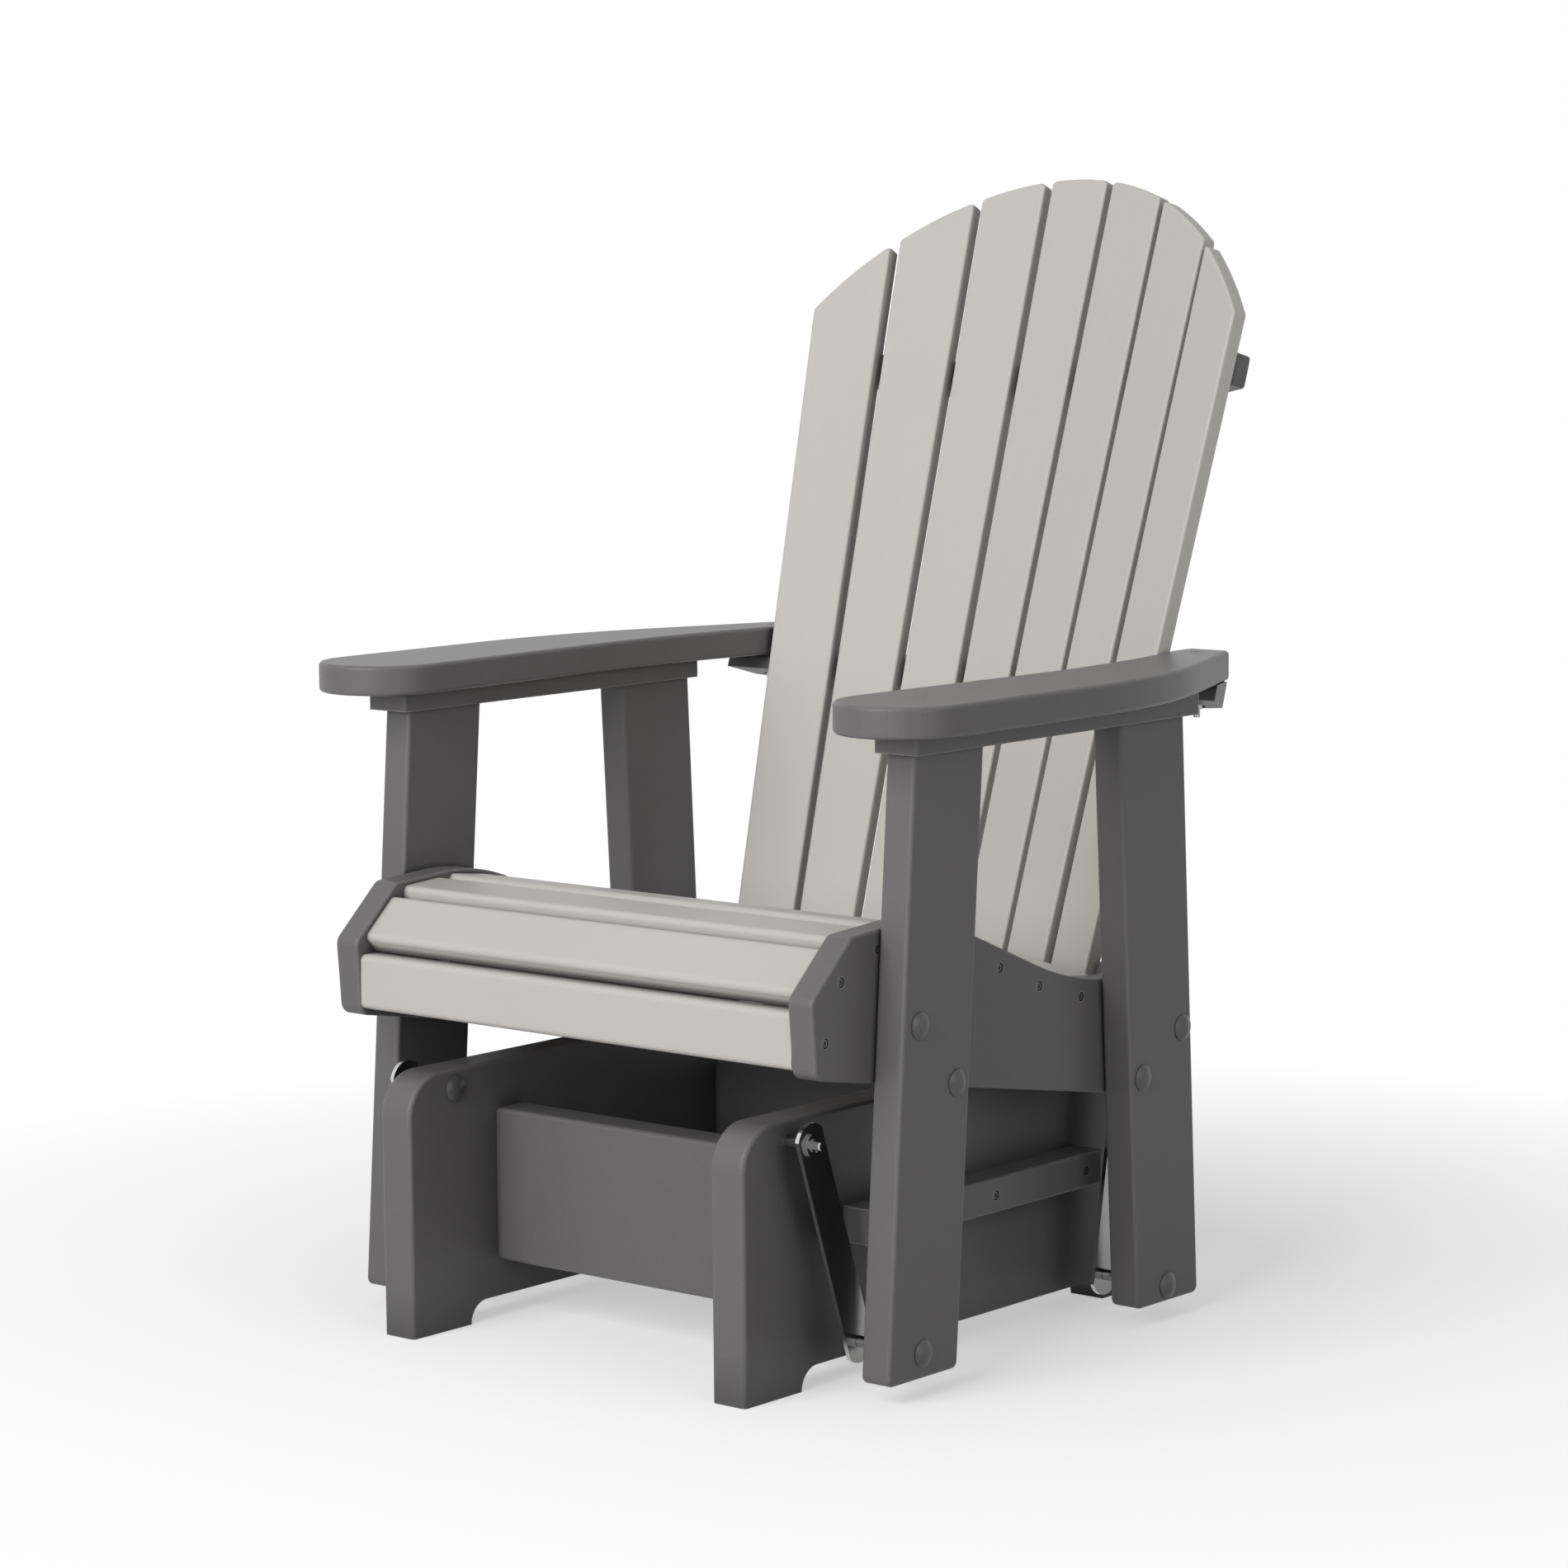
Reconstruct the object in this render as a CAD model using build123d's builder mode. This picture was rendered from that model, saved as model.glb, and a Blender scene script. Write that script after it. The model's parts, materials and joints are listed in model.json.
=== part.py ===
from build123d import *
from math import asin, atan2, copysign, cos, degrees, radians, sin, sqrt, tan
import os

# Fan-back glider chair, in millimetres. The sitter faces -Y, +X is the sitter's left.
# A low trestle base carries four swinging steel links. The seat unit hangs on their lower ends.

# Overall size
overall_height = 1072.5

# Base trestle
base_depth = 606
base_width = 445
base_height = 248
base_board = 38
base_corner_radius = 40
base_edge_round = 4
foot_length = 77.5
arch_height = 21
cross_panel_bottom_height = 56
cross_panel_height = 146.5
front_panel_setback = 116
rear_panel_setback = 432

# Stop rails that limit the swing of the links
rail_thickness = 35
rail_height = 33
rail_bottom_height = 125.5
rail_front_setback = 137.5
rail_rear_setback = 481
rail_edge_round = 3

# Swinging links and their pivots
link_length = 198
link_width = 33.6
link_thickness = 4
link_offset = 247
link_end_radius = 19.6
front_lean_angle = 18.5
rear_lean_angle = 10.2
pivot_height = 229.2
front_pivot_setback = 61.3
rear_pivot_setback = 529.1
pin_radius = 4
pivot_clearance = 0.1
open_pivot_clearance = 1.6
side_clearance = 0.3
stud_collar_radius = 5.5
washer_radius = 11
washer_thickness = 2.5
pin_tip_offset = 261.3
pin_tip_chamfer = 1
clip_radius = 6.5
clip_thickness = 1.2
clip_groove_depth = 0.9
stud_cap_radius = 12.5
stud_cap_height = 5

# Legs
leg_offset = 291.5
leg_thickness = 32
leg_bottom_height = 18.9
leg_top_height = 573
front_leg_setbacks = (75.6, 173.2, 215.7, 117.4)
rear_leg_setbacks = (446.9, 543.9, 519.7, 419.2)
leg_edge_round = 3.5
leg_corner_round = 7
cap_radius = 12.5
cap_height = 5.5
leg_bolt_radius = 4
leg_nut_radius = 7.5
leg_nut_height = 6.5
front_bolt_points = ((122.6, 334), (174.5, 276))
rear_bolt_points = ((517.5, 277), (454.7, 238.4))

# Arms and the boards under them
cleat_inner = 286
cleat_outer = 335
cleat_thickness = 19.3
cleat_front_setback = 106.3
cleat_rear_setback = 528.8
cleat_round = 3
arm_thickness = 28.6
arm_outer = 379.5
arm_inner = 255
arm_tip_setback = 48.5
arm_front_setback = 111
arm_bend_setback = 421.8
arm_bend_radius = 550
arm_rear_setback = 647
arm_rear_outer = 286.5
arm_waist_inner = 271
arm_waist_setback = 461.5
arm_waist_radius = 960
arm_slat_inner = 246
arm_slat_setback = 602
arm_heel_inner = 241.5
arm_heel_setback = 612
arm_edge_round = 4
arm_corner_round = 5
arm_notch_clearance = 2
arm_bolt_offset = 266
arm_bolt_setback = 622
arm_bolt_radius = 3.2
arm_head_radius = 8
arm_head_height = 5
arm_cap_radius = 9
arm_cap_depth = 4
arm_cap_rise = 1.2
arm_nut_radius = 6.5
arm_nut_height = 6
arm_bolt_tail = 8
arm_nut_seat_radius = 9
arm_nut_seat_height = 571.5

# Seat sides and seat slats
seat_side_thickness = 28
seat_side_length = 550
seat_side_rise = 219.5
seat_side_setback = 13.2
seat_side_bottom_height = 201
seat_side_round = 3
seat_side_corner = 12
side_front_shares = ((0.0095, 0.435), (0, 0.755), (0.098, 0.981))
side_top_shares = ((0.2222, 1.0), (0.3871, 0.92), (0.5851, 0.7116), (0.83, 0.587), (1.0, 0.5854))
seat_slat_width = 52
seat_slat_thickness = 25
seat_slat_round = 6
seat_slat_sink_depth = 5
nose_slat_sink_depth = 6
nose_slat_width = 53
nose_slat_shift = 0.7
fascia_setback = 18.5
fascia_bottom_height = 302.3
fascia_height = 51.5
first_slat_distance = 35.6
seat_slat_pitch = 63.3
seat_slat_count = 6
rear_slat_gap = 6
screw_recess_radius = 4.6
screw_recess_depth = 2.5

# Fan back: one entry per slat, from the middle slat outwards
fan_low_height = 334.25
fan_foot_setback = 556.6
fan_shoulder_drop = 117.5
fan_recline_angle = 17.95
fan_low_offsets = (0, 61.45, 126.8, 192.3)
fan_high_offsets = (0, 74.5, 151.3, 228.4)
fan_low_advances = (0, 5.9, 21.1, 38.5)
fan_high_advances = (0, 6.2, 24.5, 52.9)
fan_low_widths = (50, 58.1, 59.5, 60.3)
fan_high_widths = (65.7, 68.4, 73.6, 73.3)
fan_turn_angles = (0, 8.7, 16.4, 21)
fan_bevel_angles = (0, 2, 9, 14)
fan_crown_radius = 329.5
fan_crown_steps = 12
back_slat_thickness = 15
back_slat_bottom_height = 280
back_slat_round = 2.5
back_slat_corner = 6

# Braces behind the fan
lower_brace_height = 306
lower_brace_width = 28
lower_brace_depth = 28
mid_brace_half = 305
mid_brace_front_setback = 600.8
mid_brace_corner_offset = 290.4
mid_brace_corner_setback = 638.4
mid_brace_rear_setback = 686
mid_brace_bottom_height = 577.4
mid_brace_round = 3
upper_brace_drop = 198.5
upper_brace_width = 32
upper_brace_depth = 27
upper_brace_half = 268
upper_brace_round = 4

# Dowels in the base and screw recesses in the rails
dowel_radius = 5
dowel_side_depth = 22
dowel_panel_depth = 32
dowel_shares = (0.18, 0.5, 0.82)
rail_screw_setbacks = (176, 315.6, 454.7)

# Derived levels and planes
recline = radians(fan_recline_angle)
fan_high_height = overall_height - fan_shoulder_drop
upper_brace_height = overall_height - upper_brace_drop
fan_run = (overall_height - fan_low_height) * tan(recline)
overall_depth = fan_foot_setback + fan_run + back_slat_thickness * cos(recline)
cleat_top = leg_top_height + cleat_thickness
arm_top = cleat_top + arm_thickness
half_base = base_width / 2
base_inner = half_base - base_board
leg_outer = leg_offset + leg_thickness
seat_inner = leg_offset - seat_side_thickness
link_outer = link_offset + link_thickness


def depth_at(setback):
    """Depth coordinate of a point this far behind the front of the base."""
    return setback - overall_depth / 2


def lean_point(setback, lean):
    """Depth and height of a lower pivot, one link length below its upper pivot."""
    drop = link_length * cos(radians(lean))
    return depth_at(setback) + link_length * sin(radians(lean)), pivot_height - drop


dowel_points = [
    (depth_at(setback + base_board / 2), cross_panel_bottom_height + share * cross_panel_height)
    for setback in (front_panel_setback, rear_panel_setback)
    for share in dowel_shares
]
front_upper = (depth_at(front_pivot_setback), pivot_height)
rear_upper = (depth_at(rear_pivot_setback), pivot_height)
front_lower = lean_point(front_pivot_setback, front_lean_angle)
rear_lower = lean_point(rear_pivot_setback, -rear_lean_angle)


def side_plane(offset, point=(0, 0)):
    """Upright plane at this sideways offset, facing away from the middle of the chair."""
    outward = copysign(1, offset)
    return Plane(origin=(offset, point[0], point[1]), x_dir=(0, outward, 0), z_dir=(outward, 0, 0))


def inward_plane(offset, point):
    """Upright plane on the left half of the chair, facing the middle."""
    return Plane(origin=(offset, point[0], point[1]), x_dir=(0, -1, 0), z_dir=(-1, 0, 0))


def bow_radius(half_chord, rise):
    """Radius of the arc that rises this much over this half chord."""
    return (half_chord**2 + rise**2) / (2 * rise)


# Base: two side panels with arched feet
with BuildPart() as base_side_left:
    with BuildSketch(side_plane(base_inner)):
        with BuildLine():
            low = depth_at(0)
            high = depth_at(base_depth)
            Polyline(
                (low + foot_length, 0),
                (low, 0),
                (low, base_height),
                (high, base_height),
                (high, 0),
                (high - foot_length, 0),
            )
            RadiusArc(
                (low + foot_length, 0),
                (low + foot_length + arch_height, arch_height),
                arch_height,
            )
            Line(
                (low + foot_length + arch_height, arch_height),
                (high - foot_length - arch_height, arch_height),
            )
            RadiusArc(
                (high - foot_length - arch_height, arch_height),
                (high - foot_length, 0),
                arch_height,
            )
        make_face()
    extrude(amount=base_board)
    tops = base_side_left.edges().filter_by(Axis.X).group_by(Axis.Z)[-1]
    fillet(tops, radius=base_corner_radius)
    rims = base_side_left.faces().filter_by(Axis.X).edges()
    rims = rims.filter_by(lambda edge: edge.center().Z > arch_height * 2)
    fillet(rims, radius=base_edge_round)
    for upper in (front_upper, rear_upper):
        with Locations(side_plane(half_base, upper)):
            Hole(radius=pin_radius)
    for point in dowel_points:
        with Locations(inward_plane(base_inner, point)):
            Hole(radius=dowel_radius, depth=dowel_side_depth)

with BuildPart() as base_side_right:
    mirror(base_side_left.part, about=Plane.YZ)


def cross_panel(setback):
    """Cross panel between the base sides, drilled at both ends for its dowels."""
    with BuildPart() as panel:
        with BuildSketch(Plane.XY.offset(cross_panel_bottom_height)):
            with Locations((0, depth_at(setback + base_board / 2))):
                Rectangle(2 * base_inner, base_board)
        extrude(amount=cross_panel_height)
        fillet(panel.edges().filter_by(Axis.X), radius=base_edge_round)
        for share in dowel_shares:
            height = cross_panel_bottom_height + share * cross_panel_height
            point = (depth_at(setback + base_board / 2), height)
            with Locations(side_plane(base_inner, point), side_plane(-base_inner, point)):
                Hole(radius=dowel_radius, depth=dowel_panel_depth)
    return panel.part


with BuildPart() as base_front_panel:
    add(cross_panel(front_panel_setback))

with BuildPart() as base_rear_panel:
    add(cross_panel(rear_panel_setback))

with BuildPart() as base_dowels:
    for point in dowel_points:
        with BuildSketch(side_plane(base_inner + dowel_side_depth, point)):
            Circle(dowel_radius)
        extrude(amount=-(dowel_side_depth + dowel_panel_depth))
    mirror(about=Plane.YZ)

# Stop rails screwed to the outside of the base, between the links
rail_middle = depth_at((rail_front_setback + rail_rear_setback) / 2)

with BuildPart() as stop_rail_left:
    with BuildSketch(Plane.XY.offset(rail_bottom_height)):
        with Locations((half_base + rail_thickness / 2, rail_middle)):
            Rectangle(rail_thickness, rail_rear_setback - rail_front_setback)
    extrude(amount=rail_height)
    outer = stop_rail_left.faces().sort_by(Axis.X)[-1]
    fillet(outer.edges(), radius=rail_edge_round)
    for setback in rail_screw_setbacks:
        point = (depth_at(setback), rail_bottom_height + rail_height / 2)
        with Locations(side_plane(half_base + rail_thickness, point)):
            Hole(radius=screw_recess_radius, depth=screw_recess_depth)

with BuildPart() as stop_rail_right:
    mirror(stop_rail_left.part, about=Plane.YZ)


def turned(plane, *points):
    """Solid of revolution about the plane's normal; each point is a radius and a height."""
    section = Plane(origin=plane.origin, x_dir=plane.x_dir, z_dir=-plane.y_dir)
    with BuildPart() as body:
        with BuildSketch(section):
            with BuildLine():
                Polyline(*points, close=True)
            make_face()
        revolve(axis=Axis(plane.origin, plane.z_dir))
    return body.part


def dome(plane, radius, height, rim):
    """Round cap with a short straight rim under a domed top, standing on the plane."""
    section = Plane(origin=plane.origin, x_dir=plane.x_dir, z_dir=-plane.y_dir)
    bow = bow_radius(radius, height - rim)
    half_angle = asin(radius / bow) / 2
    with BuildPart() as body:
        with BuildSketch(section):
            with BuildLine():
                Polyline((0, height), (0, 0), (radius, 0), (radius, rim))
                ThreePointArc(
                    (radius, rim),
                    (bow * sin(half_angle), height - bow + bow * cos(half_angle)),
                    (0, height),
                )
            make_face()
        revolve(axis=Axis(plane.origin, plane.z_dir))
    return body.part


def hex_nut(plane, radius, bore, height):
    """Hexagon nut standing on the plane."""
    with BuildPart() as body:
        with BuildSketch(plane):
            RegularPolygon(radius=radius, side_count=6)
            Circle(bore, mode=Mode.SUBTRACT)
        extrude(amount=height)
    return body.part


# Swinging links: flat bars with rounded-off ends
def swing_link(upper, lower, lower_bore):
    """Flat bar between two pivots, its ends cut to an arc about each pivot."""
    angle = degrees(atan2(lower[1] - upper[1], lower[0] - upper[0]))
    middle = ((upper[0] + lower[0]) / 2, (upper[1] + lower[1]) / 2)
    with BuildPart() as bar:
        with BuildSketch(side_plane(link_offset, middle)):
            Rectangle(link_length + 2 * link_end_radius, link_width, rotation=angle)
            SlotCenterToCenter(
                link_length, 2 * link_end_radius, rotation=angle, mode=Mode.INTERSECT
            )
        extrude(amount=link_thickness)
        with Locations(side_plane(link_outer, upper)):
            Hole(radius=pin_radius + pivot_clearance)
        with Locations(side_plane(link_outer, lower)):
            Hole(radius=lower_bore)
    return bar.part


with BuildPart() as front_link_left:
    add(swing_link(front_upper, front_lower, pin_radius + pivot_clearance))

with BuildPart() as front_link_right:
    mirror(front_link_left.part, about=Plane.YZ)

with BuildPart() as rear_link_left:
    add(swing_link(rear_upper, rear_lower, pin_radius + open_pivot_clearance))

with BuildPart() as rear_link_right:
    mirror(rear_link_left.part, about=Plane.YZ)


# Upper pivots: studs fixed in the base, each with a collar, a washer and a spring clip
washer_plane = link_outer + side_clearance
clip_plane = washer_plane + washer_thickness
groove_radius = pin_radius - clip_groove_depth


def pivot_stud(point):
    """Stud through the base side, with the collar that holds the link off the base."""
    collar_end = link_offset - side_clearance - base_inner
    groove = clip_plane - base_inner
    tip = pin_tip_offset - base_inner
    return turned(
        side_plane(base_inner, point),
        (0, 0),
        (pin_radius, 0),
        (pin_radius, base_board),
        (stud_collar_radius, base_board),
        (stud_collar_radius, collar_end),
        (pin_radius, collar_end),
        (pin_radius, groove),
        (groove_radius, groove),
        (groove_radius, groove + clip_thickness),
        (pin_radius, groove + clip_thickness),
        (pin_radius, tip - pin_tip_chamfer),
        (pin_radius - pin_tip_chamfer, tip),
        (0, tip),
    )


with BuildPart() as front_pivot_studs:
    add(pivot_stud(front_upper))
    mirror(about=Plane.YZ)

with BuildPart() as rear_pivot_studs:
    add(pivot_stud(rear_upper))
    mirror(about=Plane.YZ)

with BuildPart() as pivot_washers:
    for upper in (front_upper, rear_upper):
        with BuildSketch(side_plane(washer_plane, upper)):
            Circle(washer_radius)
            Circle(pin_radius, mode=Mode.SUBTRACT)
        extrude(amount=washer_thickness)
    mirror(about=Plane.YZ)

with BuildPart() as pivot_clips:
    for upper in (front_upper, rear_upper):
        with BuildSketch(side_plane(clip_plane, upper)):
            Circle(clip_radius)
            Circle(groove_radius, mode=Mode.SUBTRACT)
            with Locations((0, -clip_radius)):
                Rectangle(groove_radius, 2 * clip_radius, mode=Mode.SUBTRACT)
        extrude(amount=clip_thickness)
    mirror(about=Plane.YZ)

with BuildPart() as stud_caps:
    for upper in (front_upper, rear_upper):
        add(dome(inward_plane(base_inner, upper), stud_cap_radius, stud_cap_height, pin_tip_chamfer))
    mirror(about=Plane.YZ)

# Lower pivots: bolts through the legs, each with a spacer and a nut
with BuildPart() as lower_pivot_bolts:
    for lower in (front_lower, rear_lower):
        with BuildSketch(side_plane(leg_outer, lower)):
            Circle(pin_radius)
        extrude(amount=-(leg_outer - link_offset + side_clearance + leg_nut_height + pin_tip_chamfer))
    mirror(about=Plane.YZ)

with BuildPart() as lower_pivot_spacers:
    for lower in (front_lower, rear_lower):
        with BuildSketch(side_plane(washer_plane, lower)):
            Circle(stud_collar_radius)
            Circle(pin_radius, mode=Mode.SUBTRACT)
        extrude(amount=leg_offset - washer_plane)
    mirror(about=Plane.YZ)

with BuildPart() as lower_pivot_nuts:
    for lower in (front_lower, rear_lower):
        seat = inward_plane(link_offset - side_clearance, lower)
        add(hex_nut(seat, leg_nut_radius, pin_radius, leg_nut_height))
    mirror(about=Plane.YZ)


# Legs: leaning boards bolted to the outside of the seat sides
def leg(setbacks, bolts, pivot):
    """Leaning leg board from its four corner setbacks, drilled for its bolts and its lower pivot."""
    with BuildPart() as board:
        with BuildSketch(side_plane(leg_offset)) as outline:
            with BuildLine():
                Polyline(
                    (depth_at(setbacks[0]), leg_bottom_height),
                    (depth_at(setbacks[1]), leg_bottom_height),
                    (depth_at(setbacks[2]), leg_top_height),
                    (depth_at(setbacks[3]), leg_top_height),
                    close=True,
                )
            make_face()
            fillet(outline.vertices().group_by(Axis.Y)[0], radius=leg_corner_round)
        extrude(amount=leg_thickness)
        rims = board.faces().filter_by(Axis.X).edges()
        rims = rims.filter_by(lambda edge: edge.center().Z < leg_top_height - leg_corner_round)
        fillet(rims, radius=leg_edge_round)
        for point in bolts:
            with Locations(side_plane(leg_outer, (depth_at(point[0]), point[1]))):
                Hole(radius=leg_bolt_radius)
        with Locations(side_plane(leg_outer, pivot)):
            Hole(radius=pin_radius)
    return board.part


with BuildPart() as front_leg_left:
    add(leg(front_leg_setbacks, front_bolt_points, front_lower))

with BuildPart() as front_leg_right:
    mirror(front_leg_left.part, about=Plane.YZ)

with BuildPart() as rear_leg_left:
    add(leg(rear_leg_setbacks, rear_bolt_points, rear_lower))

with BuildPart() as rear_leg_right:
    mirror(rear_leg_left.part, about=Plane.YZ)

leg_bolt_centres = [(depth_at(point[0]), point[1]) for point in front_bolt_points + rear_bolt_points]
nut_plane = seat_inner

with BuildPart() as leg_bolts:
    for centre in leg_bolt_centres:
        with BuildSketch(side_plane(leg_outer, centre)):
            Circle(leg_bolt_radius)
        extrude(amount=-(leg_outer - nut_plane + leg_nut_height + pin_tip_chamfer))
    mirror(about=Plane.YZ)

with BuildPart() as leg_bolt_nuts:
    for centre in leg_bolt_centres:
        add(hex_nut(inward_plane(nut_plane, centre), leg_nut_radius, leg_bolt_radius, leg_nut_height))
    mirror(about=Plane.YZ)

with BuildPart() as leg_bolt_caps:
    for centre in leg_bolt_centres + [front_lower, rear_lower]:
        add(dome(side_plane(leg_outer, centre), cap_radius, cap_height, pin_tip_chamfer))
    mirror(about=Plane.YZ)


# Seat sides: shaped boards that carry the seat slats
def side_point(share):
    """Point of the seat side from its shares of the side's length and rise."""
    return (
        depth_at(seat_side_setback) + share[0] * seat_side_length,
        seat_side_bottom_height + share[1] * seat_side_rise,
    )


side_front = [side_point(share) for share in side_front_shares]
side_top = [side_point(share) for share in side_top_shares]
side_rear_low = side_point((1, 0))


def side_top_edges():
    """Top of the seat side: an arc over the crest, a slope, a hollow arc and a flat."""
    slope = (Vector(side_top[2]) - Vector(side_top[1])).normalized()
    chord = (Vector(side_top[1]) - Vector(side_top[0])).normalized()
    crest = TangentArc(side_top[0], side_top[1], tangent=chord * (2 * chord.dot(slope)) - slope)
    hollow = TangentArc(side_top[2], side_top[3], tangent=slope)
    return crest, Line(side_top[1], side_top[2]), hollow, Line(side_top[3], side_top[4])


seat_curve = Wire([Line(side_front[2], side_top[0]), *side_top_edges()])


def slat_seat(reach):
    """Centre and slope of the seat slat whose middle is this far along the seat curve."""
    point = seat_curve.position_at(reach, position_mode=PositionMode.LENGTH)
    tangent = seat_curve.tangent_at(reach, position_mode=PositionMode.LENGTH)
    drop = seat_slat_sink_depth + seat_slat_thickness / 2
    centre = (point.X + tangent.Y * drop, point.Y - tangent.X * drop)
    return centre, degrees(atan2(tangent.Y, tangent.X))


nose_slope = atan2(side_front[2][1] - side_front[1][1], side_front[2][0] - side_front[1][0])
nose_drop = nose_slat_sink_depth + seat_slat_thickness / 2
nose_middle = ((side_front[1][0] + side_front[2][0]) / 2, (side_front[1][1] + side_front[2][1]) / 2)
nose_centre = (
    nose_middle[0] + nose_drop * sin(nose_slope) + nose_slat_shift * cos(nose_slope),
    nose_middle[1] - nose_drop * cos(nose_slope) + nose_slat_shift * sin(nose_slope),
)
fascia_centre = (depth_at(fascia_setback) + seat_slat_thickness / 2, fascia_bottom_height + fascia_height / 2)
slat_seats = [slat_seat(first_slat_distance + index * seat_slat_pitch) for index in range(seat_slat_count)]
rear_seat_centre = slat_seat(first_slat_distance + seat_slat_count * seat_slat_pitch)[0]
screw_points = [fascia_centre, nose_centre] + [seat[0] for seat in slat_seats] + [rear_seat_centre]

with BuildPart() as seat_side_left:
    with BuildSketch(side_plane(seat_inner)) as side_outline:
        with BuildLine():
            Polyline(side_top[-1], side_rear_low, side_front[0], side_front[1], side_front[2], side_top[0])
            side_top_edges()
        make_face()
        corners = side_outline.vertices()
        corners = corners.filter_by(lambda corner: corner.X < side_top[0][0] or corner.X > side_top[3][0])
        fillet(corners, radius=seat_side_corner)
    extrude(amount=seat_side_thickness)
    rims = seat_side_left.faces().filter_by(Axis.X).edges()
    fillet(rims, radius=seat_side_round)
    for centre in screw_points:
        with Locations(side_plane(leg_offset, centre)):
            Hole(radius=screw_recess_radius, depth=screw_recess_depth)
    for centre in leg_bolt_centres:
        with Locations(side_plane(leg_offset, centre)):
            Hole(radius=leg_bolt_radius)

with BuildPart() as seat_side_right:
    mirror(seat_side_left.part, about=Plane.YZ)


# Seat slats: rounded boards between the seat sides
def cross_slat(centre, width, height, slope):
    """Rounded board between the seat sides."""
    with BuildPart() as board:
        with BuildSketch(side_plane(seat_inner, centre)):
            RectangleRounded(width, height, seat_slat_round, rotation=slope)
        extrude(amount=-2 * seat_inner)
    return board.part


with BuildPart() as fascia_slat:
    add(cross_slat(fascia_centre, seat_slat_thickness, fascia_height, 0))

with BuildPart() as nose_slat:
    add(cross_slat(nose_centre, nose_slat_width, seat_slat_thickness, degrees(nose_slope)))

seat_slats = []
for index in range(seat_slat_count):
    with BuildPart() as seat_slat:
        add(cross_slat(slat_seats[index][0], seat_slat_width, seat_slat_thickness, slat_seats[index][1]))
    seat_slats.append(seat_slat)

# Fan back: flat tapered slats set round a shallow curve, their tops cut to one arc
crown_depth = depth_at(fan_foot_setback + fan_run)
crown_centre_height = overall_height - fan_crown_radius
fan_last = len(fan_turn_angles) - 1


def blend(low, high, height):
    """Value at this height on the straight line through the two fan reference heights."""
    return low + (high - low) * (height - fan_low_height) / (fan_high_height - fan_low_height)


def fan_middle(index, height):
    """Middle of a slat's front face at this height."""
    advance = blend(fan_low_advances[index], fan_high_advances[index], height)
    depth = crown_depth - (overall_height - height) * tan(recline) - advance
    return Vector(blend(fan_low_offsets[index], fan_high_offsets[index], height), depth, height)


def fan_plane(index):
    """Plane of a slat's front face: x across the slat, y up the slat, normal to the front."""
    turn = radians(fan_turn_angles[index])
    across = Vector(cos(turn), -sin(turn), 0)
    rise = fan_middle(index, fan_high_height) - fan_middle(index, fan_low_height)
    return Plane(origin=fan_middle(index, fan_low_height), x_dir=across, z_dir=across.cross(rise))


def slat_edge(index, height, side):
    """Point on a slat's edge (side 1 or -1) or middle (side 0), in the slat's own plane."""
    middle = fan_plane(index).to_local_coords(fan_middle(index, height))
    width = blend(fan_low_widths[index], fan_high_widths[index], height)
    return middle.X + side * width / 2, middle.Y


def crown_point(index, side):
    """Where a slat's edge meets the arc over the top of the fan."""
    height = fan_high_height
    turn = radians(fan_turn_angles[index])
    for step in range(fan_crown_steps):
        width = blend(fan_low_widths[index], fan_high_widths[index], height)
        sideways = fan_middle(index, height).X + side * width / 2 * cos(turn)
        height = crown_centre_height + sqrt(fan_crown_radius**2 - sideways**2)
    return slat_edge(index, height, side)


def bevel_plane(index, splay):
    """Plane of a slat's inner side: through its front edge, and wider by the splay at the back."""
    frame = fan_plane(index)
    low = slat_edge(index, back_slat_bottom_height, -1)
    high = slat_edge(index, fan_high_height, -1)
    rise = frame.from_local_coords(Vector(*high, 0)) - frame.from_local_coords(Vector(*low, 0))
    across = frame.z_dir * back_slat_thickness + frame.x_dir * splay
    return Plane(origin=frame.from_local_coords(Vector(*low, 0)), x_dir=rise, z_dir=across.cross(rise))


def brace_plane(height):
    """Plane square to the middle slat, through the middle of its back at this height."""
    up = Vector(0, sin(recline), cos(recline))
    back = Vector(0, cos(recline), -sin(recline))
    origin = fan_middle(0, height) + back * back_slat_thickness
    return Plane(origin=origin, x_dir=(1, 0, 0), z_dir=up)


def slat_crossing(index, height):
    """Where the middle of a slat's front face crosses the brace plane, in that plane."""
    plane = brace_plane(height)
    low = plane.to_local_coords(fan_middle(index, fan_low_height))
    high = plane.to_local_coords(fan_middle(index, fan_high_height))
    return low + (high - low) * (low.Z / (low.Z - high.Z))


def brace_radius(height):
    """Radius of the arc along the slat backs in the brace plane."""
    crossing = slat_crossing(fan_last, height)
    return bow_radius(crossing.X, -back_slat_thickness - crossing.Y)


def fan_slat(index):
    """Tapered back slat with an arc top, a bevelled inner side and softened edges."""
    splay = back_slat_thickness * tan(radians(fan_bevel_angles[index]))
    inner = -1 - 2 * splay / fan_low_widths[index]
    with BuildPart() as slat:
        with BuildSketch(fan_plane(index)) as outline:
            with BuildLine():
                Polyline(
                    crown_point(index, inner),
                    slat_edge(index, back_slat_bottom_height, inner),
                    slat_edge(index, back_slat_bottom_height, 1),
                    crown_point(index, 1),
                )
                ThreePointArc(crown_point(index, 1), crown_point(index, 0), crown_point(index, inner))
            make_face()
            fillet(outline.vertices().sort_by(Axis.Y)[-2:], radius=back_slat_corner)
        extrude(amount=-back_slat_thickness)
        if splay:
            split(bisect_by=bevel_plane(index, splay), keep=Keep.BOTTOM)
        front = slat.faces().sort_by(SortBy.AREA)[-2:].sort_by(Axis.Y)[0]
        fillet(front.edges(), radius=back_slat_round)
    return slat.part


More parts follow.
